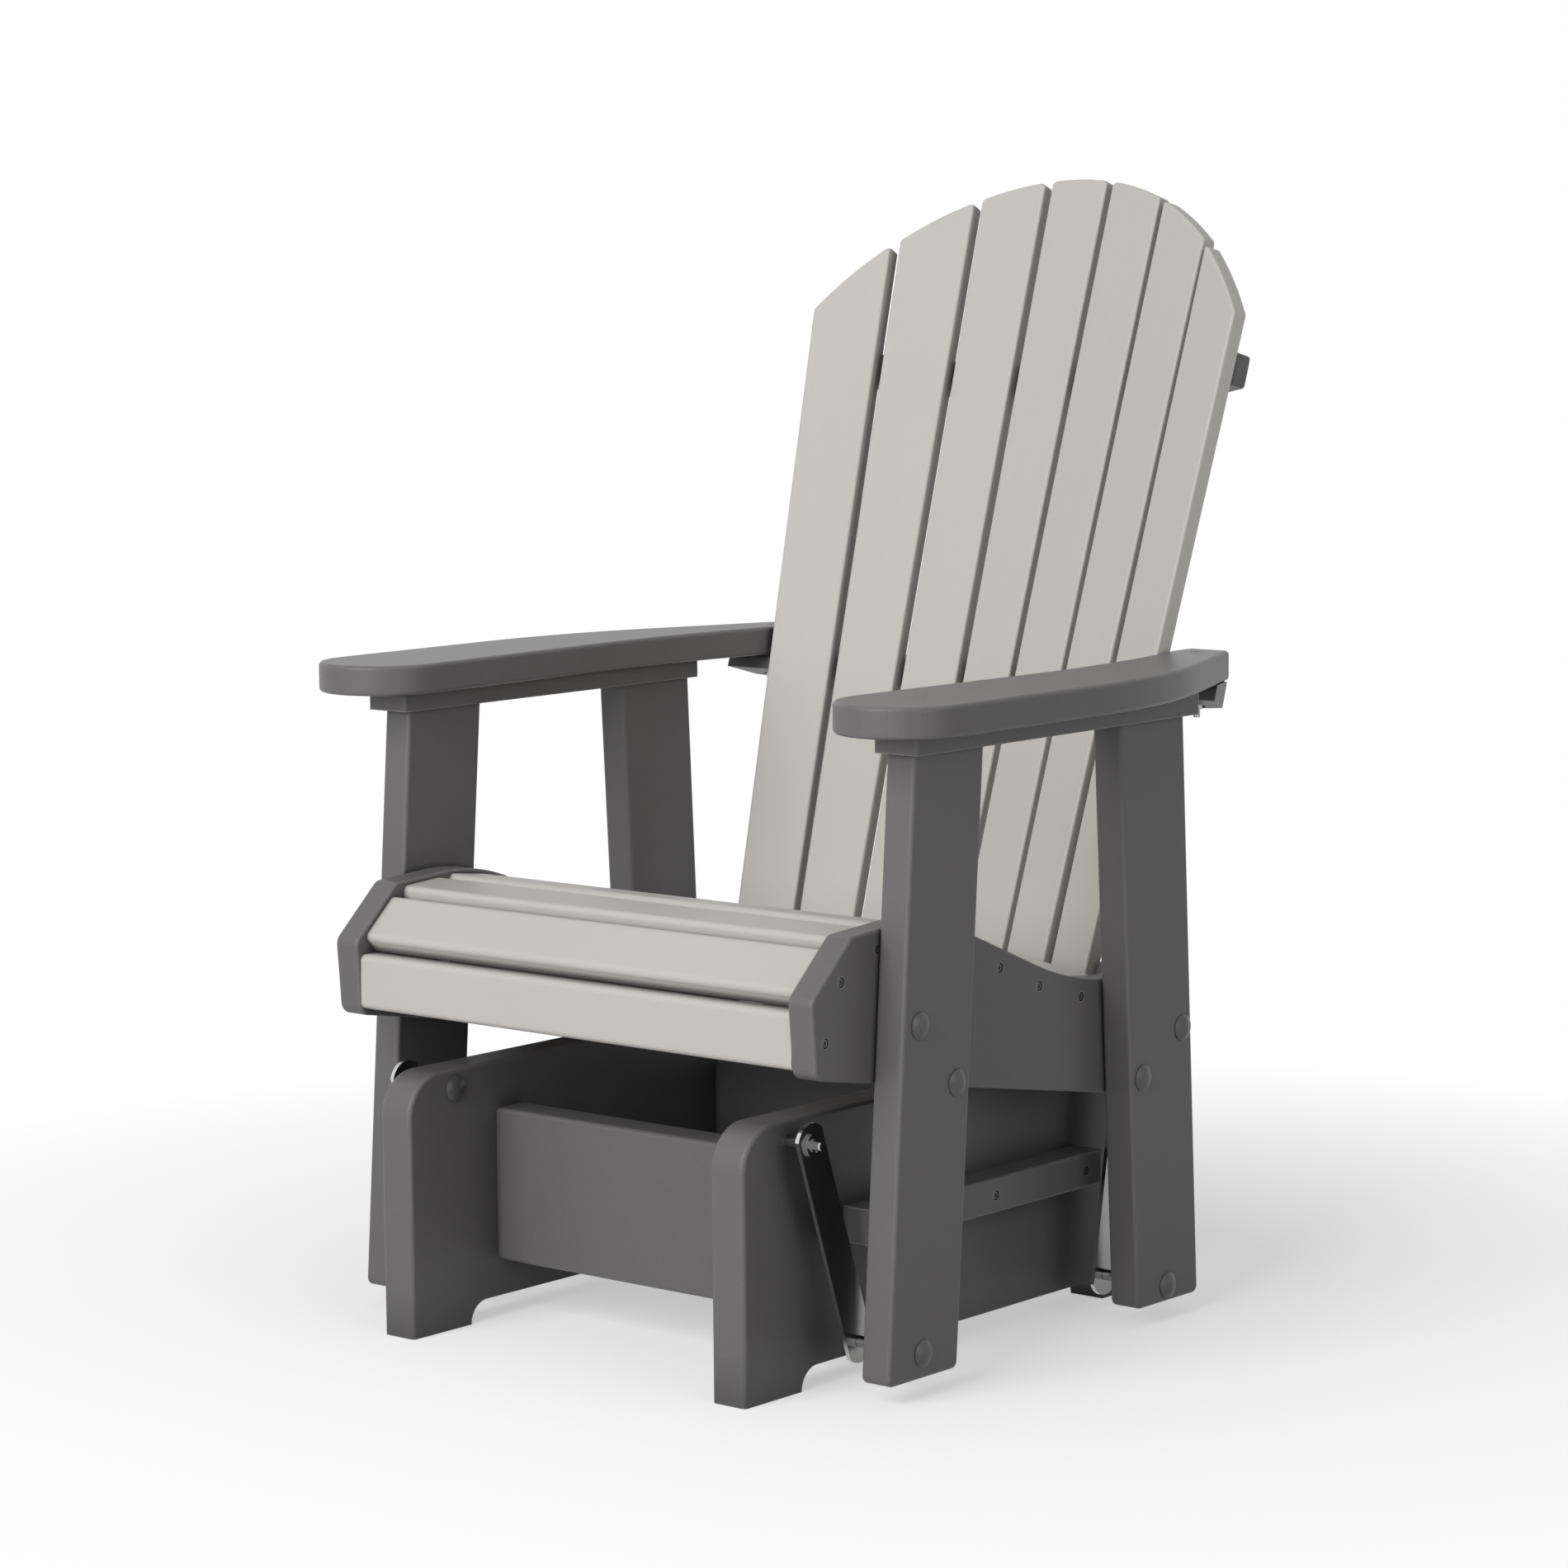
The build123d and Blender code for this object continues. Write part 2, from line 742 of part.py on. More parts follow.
# Slats are numbered from the sitter's left to the right
fan_left = [fan_slat(index) for index in range(fan_last + 1)]
back_slats = []
for index in range(fan_last, -1, -1):
    with BuildPart() as back_slat:
        add(fan_left[index])
    back_slats.append(back_slat)
for index in range(1, fan_last + 1):
    with BuildPart() as back_slat:
        mirror(fan_left[index], about=Plane.YZ)
    back_slats.append(back_slat)

# Rear seat slat: wide board with its rear edge bowed to follow the fan
rear_seat_low = rear_seat_centre[1] - seat_slat_thickness / 2
rear_middle = fan_middle(0, rear_seat_low)
rear_side = fan_middle(fan_last, rear_seat_low)
rear_bow = bow_radius(rear_side.X, rear_middle.Y - rear_side.Y)
rear_end = rear_middle.Y - rear_slat_gap - rear_bow + sqrt(rear_bow**2 - seat_inner**2)
with BuildPart() as rear_seat_slat:
    with BuildSketch(Plane.XY.offset(rear_seat_low)):
        with BuildLine():
            front_edge = rear_seat_centre[0] - seat_slat_width / 2
            Polyline(
                (-seat_inner, rear_end),
                (-seat_inner, front_edge),
                (seat_inner, front_edge),
                (seat_inner, rear_end),
            )
            ThreePointArc(
                (seat_inner, rear_end),
                (0, rear_middle.Y - rear_slat_gap),
                (-seat_inner, rear_end),
            )
        make_face()
    extrude(amount=seat_slat_thickness)
    fronts = rear_seat_slat.edges().filter_by(Axis.X).group_by(Axis.Y)[0]
    fillet(fronts, radius=seat_slat_round)


# Lower and upper braces: bowed battens square to the recline, behind the slats
def bowed_brace(height, width, depth, half, corner):
    """Batten between two concentric arcs, seated on the slat backs."""
    radius = brace_radius(height)
    front_end = sqrt(radius**2 - half**2) - radius
    with BuildPart() as brace:
        with BuildSketch(brace_plane(height)):
            with BuildLine():
                ThreePointArc((-half, front_end), (0, 0), (half, front_end))
                Line((half, front_end), (half, front_end + depth))
                ThreePointArc((half, front_end + depth), (0, depth), (-half, front_end + depth))
                Line((-half, front_end + depth), (-half, front_end))
            make_face()
        extrude(amount=width / 2, both=True)
        backs = brace.faces().sort_by(Axis.Y)[-1].edges()
        fillet(backs, radius=corner)
        for back_slat in back_slats:
            add(back_slat.part, mode=Mode.SUBTRACT)
    return brace.part


with BuildPart() as lower_back_brace:
    add(bowed_brace(lower_brace_height, lower_brace_width, lower_brace_depth, seat_inner, back_slat_round))

with BuildPart() as upper_back_brace:
    upper_section = (upper_brace_width, upper_brace_depth)
    add(bowed_brace(upper_brace_height, *upper_section, upper_brace_half, upper_brace_round))

# Middle brace: deep board under the arms, hollowed in front to follow the fan
mid_front = depth_at(mid_brace_front_setback)
mid_middle = fan_middle(0, cleat_top).Y + back_slat_thickness / cos(recline)
mid_side = fan_middle(fan_last, cleat_top)
mid_bow = bow_radius(mid_side.X, fan_middle(0, cleat_top).Y - mid_side.Y)
mid_hollow = sqrt(mid_bow**2 - (mid_bow - mid_middle + mid_front) ** 2)
mid_corner = (mid_brace_corner_offset, depth_at(mid_brace_corner_setback))
mid_low_front = mid_front - (cleat_top - mid_brace_bottom_height) * tan(recline)
with BuildPart() as mid_back_brace:
    with BuildSketch(Plane.XY.offset(cleat_top)):
        with BuildLine():
            ThreePointArc((-mid_hollow, mid_front), (0, mid_middle), (mid_hollow, mid_front))
            Polyline((mid_hollow, mid_front), (mid_brace_half, mid_front), mid_corner)
            ThreePointArc(
                mid_corner,
                (0, depth_at(mid_brace_rear_setback)),
                (-mid_corner[0], mid_corner[1]),
            )
            Polyline(
                (-mid_corner[0], mid_corner[1]),
                (-mid_brace_half, mid_front),
                (-mid_hollow, mid_front),
            )
        make_face()
    extrude(amount=cleat_top - back_slat_bottom_height, dir=(0, -sin(recline), -cos(recline)))
    under = Plane(origin=(0, mid_low_front, mid_brace_bottom_height), z_dir=(0, sin(recline), cos(recline)))
    split(bisect_by=under, keep=Keep.TOP)
    rear = mid_back_brace.faces().sort_by(Axis.Y)[-1]
    fillet(rear.edges(), radius=mid_brace_round)
    for back_slat in back_slats:
        add(back_slat.part, mode=Mode.SUBTRACT)
    for side in (-1, 1):
        with Locations((side * arm_bolt_offset, depth_at(arm_bolt_setback), cleat_top)):
            Hole(radius=arm_bolt_radius)
        under_side = Plane(
            origin=(side * arm_bolt_offset, depth_at(arm_bolt_setback), back_slat_bottom_height),
            x_dir=(1, 0, 0),
            z_dir=(0, 0, -1),
        )
        with Locations(under_side):
            Hole(radius=arm_nut_seat_radius, depth=arm_nut_seat_height - back_slat_bottom_height)

# Cleats along the tops of the legs
cleat_middle = depth_at((cleat_front_setback + cleat_rear_setback) / 2)

with BuildPart() as arm_cleat_left:
    with BuildSketch(Plane.XY.offset(leg_top_height)):
        with Locations(((cleat_inner + cleat_outer) / 2, cleat_middle)):
            Rectangle(cleat_outer - cleat_inner, cleat_rear_setback - cleat_front_setback)
    extrude(amount=cleat_thickness)
    fillet(arm_cleat_left.edges().filter_by(Axis.Z), radius=cleat_round)

with BuildPart() as arm_cleat_right:
    mirror(arm_cleat_left.part, about=Plane.YZ)

# Arms: round-nosed boards that curve in behind the back, notched round the outer slat
with BuildPart() as slat_envelope:
    with BuildSketch(fan_plane(fan_last).offset(arm_notch_clearance)):
        with BuildLine():
            corners = [
                slat_edge(fan_last, height, side)
                for height, side in (
                    (back_slat_bottom_height, -1),
                    (back_slat_bottom_height, 1),
                    (fan_high_height, 1),
                    (fan_high_height, -1),
                )
            ]
            Polyline(*corners, close=True)
        make_face()
        offset(amount=arm_notch_clearance, kind=Kind.INTERSECTION)
    extrude(amount=-back_slat_thickness - 2 * arm_notch_clearance)

with BuildPart() as arm_left:
    with BuildSketch(Plane.XY.offset(cleat_top)) as arm_outline:
        with BuildLine():
            front = depth_at(arm_front_setback)
            rear = depth_at(arm_rear_setback)
            bend = (arm_outer, depth_at(arm_bend_setback))
            waist = (arm_waist_inner, depth_at(arm_waist_setback))
            ThreePointArc(
                (arm_inner, front),
                ((arm_inner + arm_outer) / 2, depth_at(arm_tip_setback)),
                (arm_outer, front),
            )
            Polyline(
                (arm_outer, front),
                bend,
                (arm_rear_outer, rear),
                (arm_heel_inner, rear),
                (arm_heel_inner, depth_at(arm_heel_setback)),
                (arm_slat_inner, depth_at(arm_slat_setback)),
                waist,
                (arm_inner, front),
            )
        make_face()
        fillet(arm_outline.vertices().sort_by_distance(bend)[0], radius=arm_bend_radius)
        fillet(arm_outline.vertices().sort_by_distance(waist)[0], radius=arm_waist_radius)
        fillet(arm_outline.vertices().group_by(Axis.Y)[-1], radius=arm_corner_round)
    extrude(amount=arm_thickness)
    fillet(arm_left.faces().filter_by(Axis.Z).edges(), radius=arm_edge_round)
    add(slat_envelope.part, mode=Mode.SUBTRACT)
    with Locations((arm_bolt_offset, depth_at(arm_bolt_setback), arm_top)):
        CounterBoreHole(
            radius=arm_bolt_radius,
            counter_bore_radius=arm_cap_radius,
            counter_bore_depth=arm_head_height + arm_cap_depth,
        )

with BuildPart() as arm_right:
    mirror(arm_left.part, about=Plane.YZ)

# Arm bolts, with a cap over each head and a nut under the middle brace
bolt_head_top = arm_top - arm_cap_depth
bolt_plane = Plane(origin=(arm_bolt_offset, depth_at(arm_bolt_setback), bolt_head_top))
bolt_length = bolt_head_top - arm_nut_seat_height + arm_nut_height + arm_bolt_tail
with BuildPart() as arm_bolts:
    add(
        turned(
            bolt_plane,
            (0, 0),
            (arm_head_radius, 0),
            (arm_head_radius, -arm_head_height),
            (arm_bolt_radius, -arm_head_height),
            (arm_bolt_radius, -bolt_length),
            (0, -bolt_length),
        )
    )
    mirror(about=Plane.YZ)

with BuildPart() as arm_bolt_caps:
    add(dome(bolt_plane, arm_cap_radius, arm_cap_depth + arm_cap_rise, arm_cap_depth))
    mirror(about=Plane.YZ)

with BuildPart() as arm_bolt_nuts:
    under = Plane(
        origin=(arm_bolt_offset, depth_at(arm_bolt_setback), arm_nut_seat_height),
        x_dir=(1, 0, 0),
        z_dir=(0, 0, -1),
    )
    add(hex_nut(under, arm_nut_radius, arm_bolt_radius, arm_nut_height))
    mirror(about=Plane.YZ)

os.makedirs("parts", exist_ok=True)

base_side_left.part.label = "base_side_left"
export_step(base_side_left.part, "parts/base_side_left.step")
base_side_right.part.label = "base_side_right"
export_step(base_side_right.part, "parts/base_side_right.step")
base_front_panel.part.label = "base_front_panel"
export_step(base_front_panel.part, "parts/base_front_panel.step")
base_rear_panel.part.label = "base_rear_panel"
export_step(base_rear_panel.part, "parts/base_rear_panel.step")
stop_rail_left.part.label = "stop_rail_left"
export_step(stop_rail_left.part, "parts/stop_rail_left.step")
stop_rail_right.part.label = "stop_rail_right"
export_step(stop_rail_right.part, "parts/stop_rail_right.step")
base_dowels.part.label = "base_dowels"
export_step(base_dowels.part, "parts/base_dowels.step")
front_pivot_studs.part.label = "front_pivot_studs"
export_step(front_pivot_studs.part, "parts/front_pivot_studs.step")
rear_pivot_studs.part.label = "rear_pivot_studs"
export_step(rear_pivot_studs.part, "parts/rear_pivot_studs.step")
pivot_washers.part.label = "pivot_washers"
export_step(pivot_washers.part, "parts/pivot_washers.step")
pivot_clips.part.label = "pivot_clips"
export_step(pivot_clips.part, "parts/pivot_clips.step")
stud_caps.part.label = "stud_caps"
export_step(stud_caps.part, "parts/stud_caps.step")
front_link_left.part.label = "front_link_left"
export_step(front_link_left.part, "parts/front_link_left.step")
front_link_right.part.label = "front_link_right"
export_step(front_link_right.part, "parts/front_link_right.step")
rear_link_left.part.label = "rear_link_left"
export_step(rear_link_left.part, "parts/rear_link_left.step")
rear_link_right.part.label = "rear_link_right"
export_step(rear_link_right.part, "parts/rear_link_right.step")
lower_pivot_bolts.part.label = "lower_pivot_bolts"
export_step(lower_pivot_bolts.part, "parts/lower_pivot_bolts.step")
lower_pivot_spacers.part.label = "lower_pivot_spacers"
export_step(lower_pivot_spacers.part, "parts/lower_pivot_spacers.step")
lower_pivot_nuts.part.label = "lower_pivot_nuts"
export_step(lower_pivot_nuts.part, "parts/lower_pivot_nuts.step")
front_leg_left.part.label = "front_leg_left"
export_step(front_leg_left.part, "parts/front_leg_left.step")
front_leg_right.part.label = "front_leg_right"
export_step(front_leg_right.part, "parts/front_leg_right.step")
rear_leg_left.part.label = "rear_leg_left"
export_step(rear_leg_left.part, "parts/rear_leg_left.step")
rear_leg_right.part.label = "rear_leg_right"
export_step(rear_leg_right.part, "parts/rear_leg_right.step")
leg_bolts.part.label = "leg_bolts"
export_step(leg_bolts.part, "parts/leg_bolts.step")
leg_bolt_nuts.part.label = "leg_bolt_nuts"
export_step(leg_bolt_nuts.part, "parts/leg_bolt_nuts.step")
leg_bolt_caps.part.label = "leg_bolt_caps"
export_step(leg_bolt_caps.part, "parts/leg_bolt_caps.step")
seat_side_left.part.label = "seat_side_left"
export_step(seat_side_left.part, "parts/seat_side_left.step")
seat_side_right.part.label = "seat_side_right"
export_step(seat_side_right.part, "parts/seat_side_right.step")
fascia_slat.part.label = "fascia_slat"
export_step(fascia_slat.part, "parts/fascia_slat.step")
nose_slat.part.label = "nose_slat"
export_step(nose_slat.part, "parts/nose_slat.step")
rear_seat_slat.part.label = "rear_seat_slat"
export_step(rear_seat_slat.part, "parts/rear_seat_slat.step")
lower_back_brace.part.label = "lower_back_brace"
export_step(lower_back_brace.part, "parts/lower_back_brace.step")
mid_back_brace.part.label = "mid_back_brace"
export_step(mid_back_brace.part, "parts/mid_back_brace.step")
upper_back_brace.part.label = "upper_back_brace"
export_step(upper_back_brace.part, "parts/upper_back_brace.step")
arm_cleat_left.part.label = "arm_cleat_left"
export_step(arm_cleat_left.part, "parts/arm_cleat_left.step")
arm_cleat_right.part.label = "arm_cleat_right"
export_step(arm_cleat_right.part, "parts/arm_cleat_right.step")
arm_left.part.label = "arm_left"
export_step(arm_left.part, "parts/arm_left.step")
arm_right.part.label = "arm_right"
export_step(arm_right.part, "parts/arm_right.step")
arm_bolts.part.label = "arm_bolts"
export_step(arm_bolts.part, "parts/arm_bolts.step")
arm_bolt_caps.part.label = "arm_bolt_caps"
export_step(arm_bolt_caps.part, "parts/arm_bolt_caps.step")
arm_bolt_nuts.part.label = "arm_bolt_nuts"
export_step(arm_bolt_nuts.part, "parts/arm_bolt_nuts.step")

for number, seat_slat in enumerate(seat_slats, start=1):
    seat_slat.part.label = f"seat_slat_{number}"
    export_step(seat_slat.part, f"parts/seat_slat_{number}.step")
for number, back_slat in enumerate(back_slats, start=1):
    back_slat.part.label = f"back_slat_{number}"
    export_step(back_slat.part, f"parts/back_slat_{number}.step")
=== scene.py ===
"""Dresses the fan-back glider chair and sets it in a plain pale studio.

The chair is a low trestle base, four swinging steel links and a seat unit of
recycled-plastic boards. Lengths are in metres, +Z is up, the sitter faces -Y
and +X is the sitter's left.
"""

import json
import logging
import math
from collections.abc import Iterable
from dataclasses import dataclass, field, replace
from enum import Enum

import bmesh
import bpy
from mathutils import Euler, Matrix, Vector

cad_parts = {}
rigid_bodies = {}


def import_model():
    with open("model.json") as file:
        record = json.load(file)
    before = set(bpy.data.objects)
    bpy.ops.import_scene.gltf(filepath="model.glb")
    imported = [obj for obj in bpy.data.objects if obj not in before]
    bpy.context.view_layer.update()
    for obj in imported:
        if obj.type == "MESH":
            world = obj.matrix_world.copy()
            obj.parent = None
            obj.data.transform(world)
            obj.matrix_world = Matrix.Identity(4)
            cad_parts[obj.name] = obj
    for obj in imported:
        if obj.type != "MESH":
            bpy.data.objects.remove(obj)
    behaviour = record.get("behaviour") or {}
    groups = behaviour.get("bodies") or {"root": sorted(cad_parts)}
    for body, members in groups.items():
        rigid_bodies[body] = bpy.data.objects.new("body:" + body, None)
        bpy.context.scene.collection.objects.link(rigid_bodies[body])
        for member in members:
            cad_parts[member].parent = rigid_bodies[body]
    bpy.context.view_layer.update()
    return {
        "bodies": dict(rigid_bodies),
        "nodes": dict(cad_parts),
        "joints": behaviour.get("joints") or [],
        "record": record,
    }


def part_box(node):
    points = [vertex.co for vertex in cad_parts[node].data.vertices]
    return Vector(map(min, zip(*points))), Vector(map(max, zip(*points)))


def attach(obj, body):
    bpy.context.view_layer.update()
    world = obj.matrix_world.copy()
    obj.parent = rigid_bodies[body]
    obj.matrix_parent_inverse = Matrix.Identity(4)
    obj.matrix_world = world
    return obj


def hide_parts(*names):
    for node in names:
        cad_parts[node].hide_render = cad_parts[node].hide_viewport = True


LOG = logging.getLogger("glider")

SIDES = ("left", "right")
LEVEL_SLATS = ("fascia_slat", "nose_slat", *(f"seat_slat_{number}" for number in range(1, 7)))

Socket = bpy.types.NodeSocket
Triple = tuple[float, float, float]


class Grain(Enum):
    """Direction in which a board's grain runs, as a turn of the pattern."""

    ACROSS = (0.0, 0.0, 0.0)
    DEEP = (0.0, 0.0, math.pi / 2)
    UPRIGHT = (0.0, math.pi / 2, 0.0)


class Tone(Enum):
    """Colour of a board, as linear red, green and blue."""

    LIGHT = (0.555, 0.535, 0.498)
    DARK = (0.142, 0.136, 0.139)


@dataclass(frozen=True)
class Pattern:
    """Noise that varies a surface.

    Attributes:
        scale: Number of cells in a metre.
        detail: Octaves.
        rough: Strength of the finer octaves.
        low: Noise that gives the least of what it varies.
        high: Noise that gives the most.
    """

    scale: float
    detail: float
    rough: float
    low: float = 0.3
    high: float = 0.7


class ShaderGraph:
    """Adds and links the nodes of one material or world."""

    def __init__(self, owner: bpy.types.Material | bpy.types.World, output: str) -> None:
        """Empties the owner's nodes and adds its output.

        Args:
            owner: The material or the world.
            output: Blender's name for its output node.
        """
        owner.use_nodes = True
        self.tree = owner.node_tree
        self.tree.nodes.clear()
        self.output = self.add(output)

    def add(self, kind: str, **settings: object) -> bpy.types.Node:
        """Adds a node and sets its properties.

        Args:
            kind: Blender's name for the node type.
            **settings: Properties of the node.

        Returns:
            The new node.
        """
        node = self.tree.nodes.new(kind)
        for key, value in settings.items():
            setattr(node, key, value)
        return node

    def link(self, source: Socket, target: Socket) -> None:
        """Joins an output to an input."""
        self.tree.links.new(source, target)

    def combine(self, operation: str, *values: Socket) -> Socket:
        """Combines values one after the other.

        Args:
            operation: Blender's name for the operation.
            *values: The values.

        Returns:
            Their result.
        """
        total = values[0]
        for value in values[1:]:
            node = self.add("ShaderNodeMath", operation=operation)
            self.link(total, node.inputs[0])
            self.link(value, node.inputs[1])
            total = node.outputs[0]
        return total

    def spread(
        self, value: Socket, low: float, high: float, out_low: float, out_high: float
    ) -> Socket:
        """Maps a value from one range to another.

        Args:
            value: Value that is mapped.
            low: Lower end of its range.
            high: Upper end of its range.
            out_low: Result at the lower end.
            out_high: Result at the upper end.

        Returns:
            The mapped value.
        """
        node = self.add("ShaderNodeMapRange")
        for index, number in enumerate((low, high, out_low, out_high), start=1):
            node.inputs[index].default_value = number
        self.link(value, node.inputs[0])
        return node.outputs[0]

    def seen(self) -> Socket:
        """Adds a mask that is one for what the camera sees, also in gloss and through glass.

        Returns:
            The mask.
        """
        path = self.add("ShaderNodeLightPath")
        rays = ("Is Camera Ray", "Is Glossy Ray", "Is Transmission Ray")
        return self.combine("MAXIMUM", *(path.outputs[ray] for ray in rays))

    def show_mix(self, share: Socket, first: bpy.types.Node, second: bpy.types.Node) -> None:
        """Mixes two shaders and joins the mixture to the output.

        Args:
            share: Share of the second one.
            first: The first shader.
            second: The second shader.
        """
        mix = self.add("ShaderNodeMixShader")
        self.link(share, mix.inputs[0])
        self.link(first.outputs[0], mix.inputs[1])
        self.link(second.outputs[0], mix.inputs[2])
        self.link(mix.outputs[0], self.output.inputs[0])


class MaterialGraph(ShaderGraph):
    """Adds the patterns and masks of one material.

    Attributes:
        EDGE_COSINES: Cosines of the turn of a surface at which the painted edge highlight starts
            to show and shows in full.
        FLAT_COSINES: Cosines of a face's angle to X at which it starts to count as looking
            sideways, under a painted dark reflection, and counts in full.
        CREVICE_LIGHT: Shares of open sky at which the painted crevice shade is at its darkest
            and at which it ends.
    """

    EDGE_COSINES = (0.998, 0.93)
    FLAT_COSINES = (0.75, 0.97)
    CREVICE_LIGHT = (0.35, 0.85)

    def __init__(self, name: str) -> None:
        """Starts an empty material."""
        self.material = bpy.data.materials.new(name)
        super().__init__(self.material, "ShaderNodeOutputMaterial")

    def coordinates(
        self, turn: Triple = (0.0, 0.0, 0.0), stretch: Triple = (1.0, 1.0, 1.0)
    ) -> Socket:
        """Adds object coordinates, turned and stretched.

        Args:
            turn: Angles about X, Y and Z that carry the pattern's length onto the board's.
            stretch: Scale along, across and through the board.

        Returns:
            The coordinates.
        """
        place = self.add("ShaderNodeTexCoord")
        turned = self.add("ShaderNodeVectorRotate", rotation_type="EULER_XYZ", invert=True)
        turned.inputs["Rotation"].default_value = turn
        scaled = self.add("ShaderNodeVectorMath", operation="MULTIPLY")
        scaled.inputs[1].default_value = stretch
        self.link(place.outputs["Object"], turned.inputs["Vector"])
        self.link(turned.outputs["Vector"], scaled.inputs[0])
        return scaled.outputs["Vector"]

    def noise(self, vector: Socket, pattern: Pattern) -> Socket:
        """Adds a noise pattern.

        Args:
            vector: Coordinates that it reads.
            pattern: Its settings.

        Returns:
            The pattern's value.
        """
        node = self.add("ShaderNodeTexNoise")
        node.inputs["Scale"].default_value = pattern.scale
        node.inputs["Detail"].default_value = pattern.detail
        node.inputs["Roughness"].default_value = pattern.rough
        self.link(vector, node.inputs["Vector"])
        return node.outputs["Fac"]

    def vary(self, value: Socket, pattern: Pattern, least: float, most: float) -> Socket:
        """Maps a pattern's value to the range of what it varies."""
        return self.spread(value, pattern.low, pattern.high, least, most)

    def mottle(self, vector: Socket, pattern: Pattern, amount: float) -> Socket:
        """Adds a pattern that runs an amount below one and above it."""
        return self.vary(self.noise(vector, pattern), pattern, 1.0 - amount, 1.0 + amount)

    def edges(self, width: float, gain: float) -> Socket:
        """Adds a factor that is one on a flat face and changes towards an edge, where it paints
        a highlight.

        Args:
            width: Width of the painted highlight along the edge.
            gain: Factor on the edge, which paints a highlight there.

        Returns:
            The factor.
        """
        softened = self.add("ShaderNodeBevel", samples=4)
        softened.inputs["Radius"].default_value = width
        place = self.add("ShaderNodeNewGeometry")
        cosine = self.add("ShaderNodeVectorMath", operation="DOT_PRODUCT")
        self.link(softened.outputs["Normal"], cosine.inputs[0])
        self.link(place.outputs["Normal"], cosine.inputs[1])
        return self.spread(cosine.outputs["Value"], *self.EDGE_COSINES, 1.0, gain)

    def sideways_dark_reflection(self, share: float) -> Socket:
        """Adds a painted dark reflection: a factor that is below one where a face looks
        sideways, along X.

        Args:
            share: Factor on such a face.

        Returns:
            The factor.
        """
        place = self.add("ShaderNodeTexCoord")
        parts = self.add("ShaderNodeSeparateXYZ")
        sideways = self.add("ShaderNodeMath", operation="ABSOLUTE")
        self.link(place.outputs["Normal"], parts.inputs[0])
        self.link(parts.outputs["X"], sideways.inputs[0])
        return self.spread(sideways.outputs[0], *self.FLAT_COSINES, 1.0, share)

    def crevice_shade(self, reach: float, floor: float) -> Socket:
        """Adds painted shade: a factor that is below one where another surface stands close by.

        Args:
            reach: Distance at which a neighbour still counts.
            floor: Factor in the deepest crevice, where the painted shade is darkest.

        Returns:
            The factor.
        """
        node = self.add("ShaderNodeAmbientOcclusion", samples=8)
        node.inputs["Distance"].default_value = reach
        return self.spread(node.outputs["AO"], *self.CREVICE_LIGHT, floor, 1.0)

    def paint(self, shader: bpy.types.Node, colour: Triple, *factors: Socket) -> None:
        """Gives a shader a base colour whose brightness patterns and masks vary.

        Args:
            shader: The shader.
            colour: Linear red, green and blue.
            *factors: What multiplies them.
        """
        tint = self.add("ShaderNodeVectorMath", operation="SCALE")
        tint.inputs[0].default_value = colour
        self.link(self.combine("MULTIPLY", *factors), tint.inputs["Scale"])
        self.link(tint.outputs["Vector"], shader.inputs["Base Color"])

    def emboss(self, shader: bpy.types.Node, height: Socket, share: float, depth: float) -> None:
        """Gives a shader fine relief and joins the shader to the output.

        Args:
            shader: The shader.
            height: Pattern of the relief.
            share: Share of the relief that shows.
            depth: Height of the relief.
        """
        bump = self.add("ShaderNodeBump")
        bump.inputs["Strength"].default_value = share
        bump.inputs["Distance"].default_value = depth
        self.link(height, bump.inputs["Height"])
        self.link(bump.outputs["Normal"], shader.inputs["Normal"])
        self.link(shader.outputs[0], self.output.inputs[0])


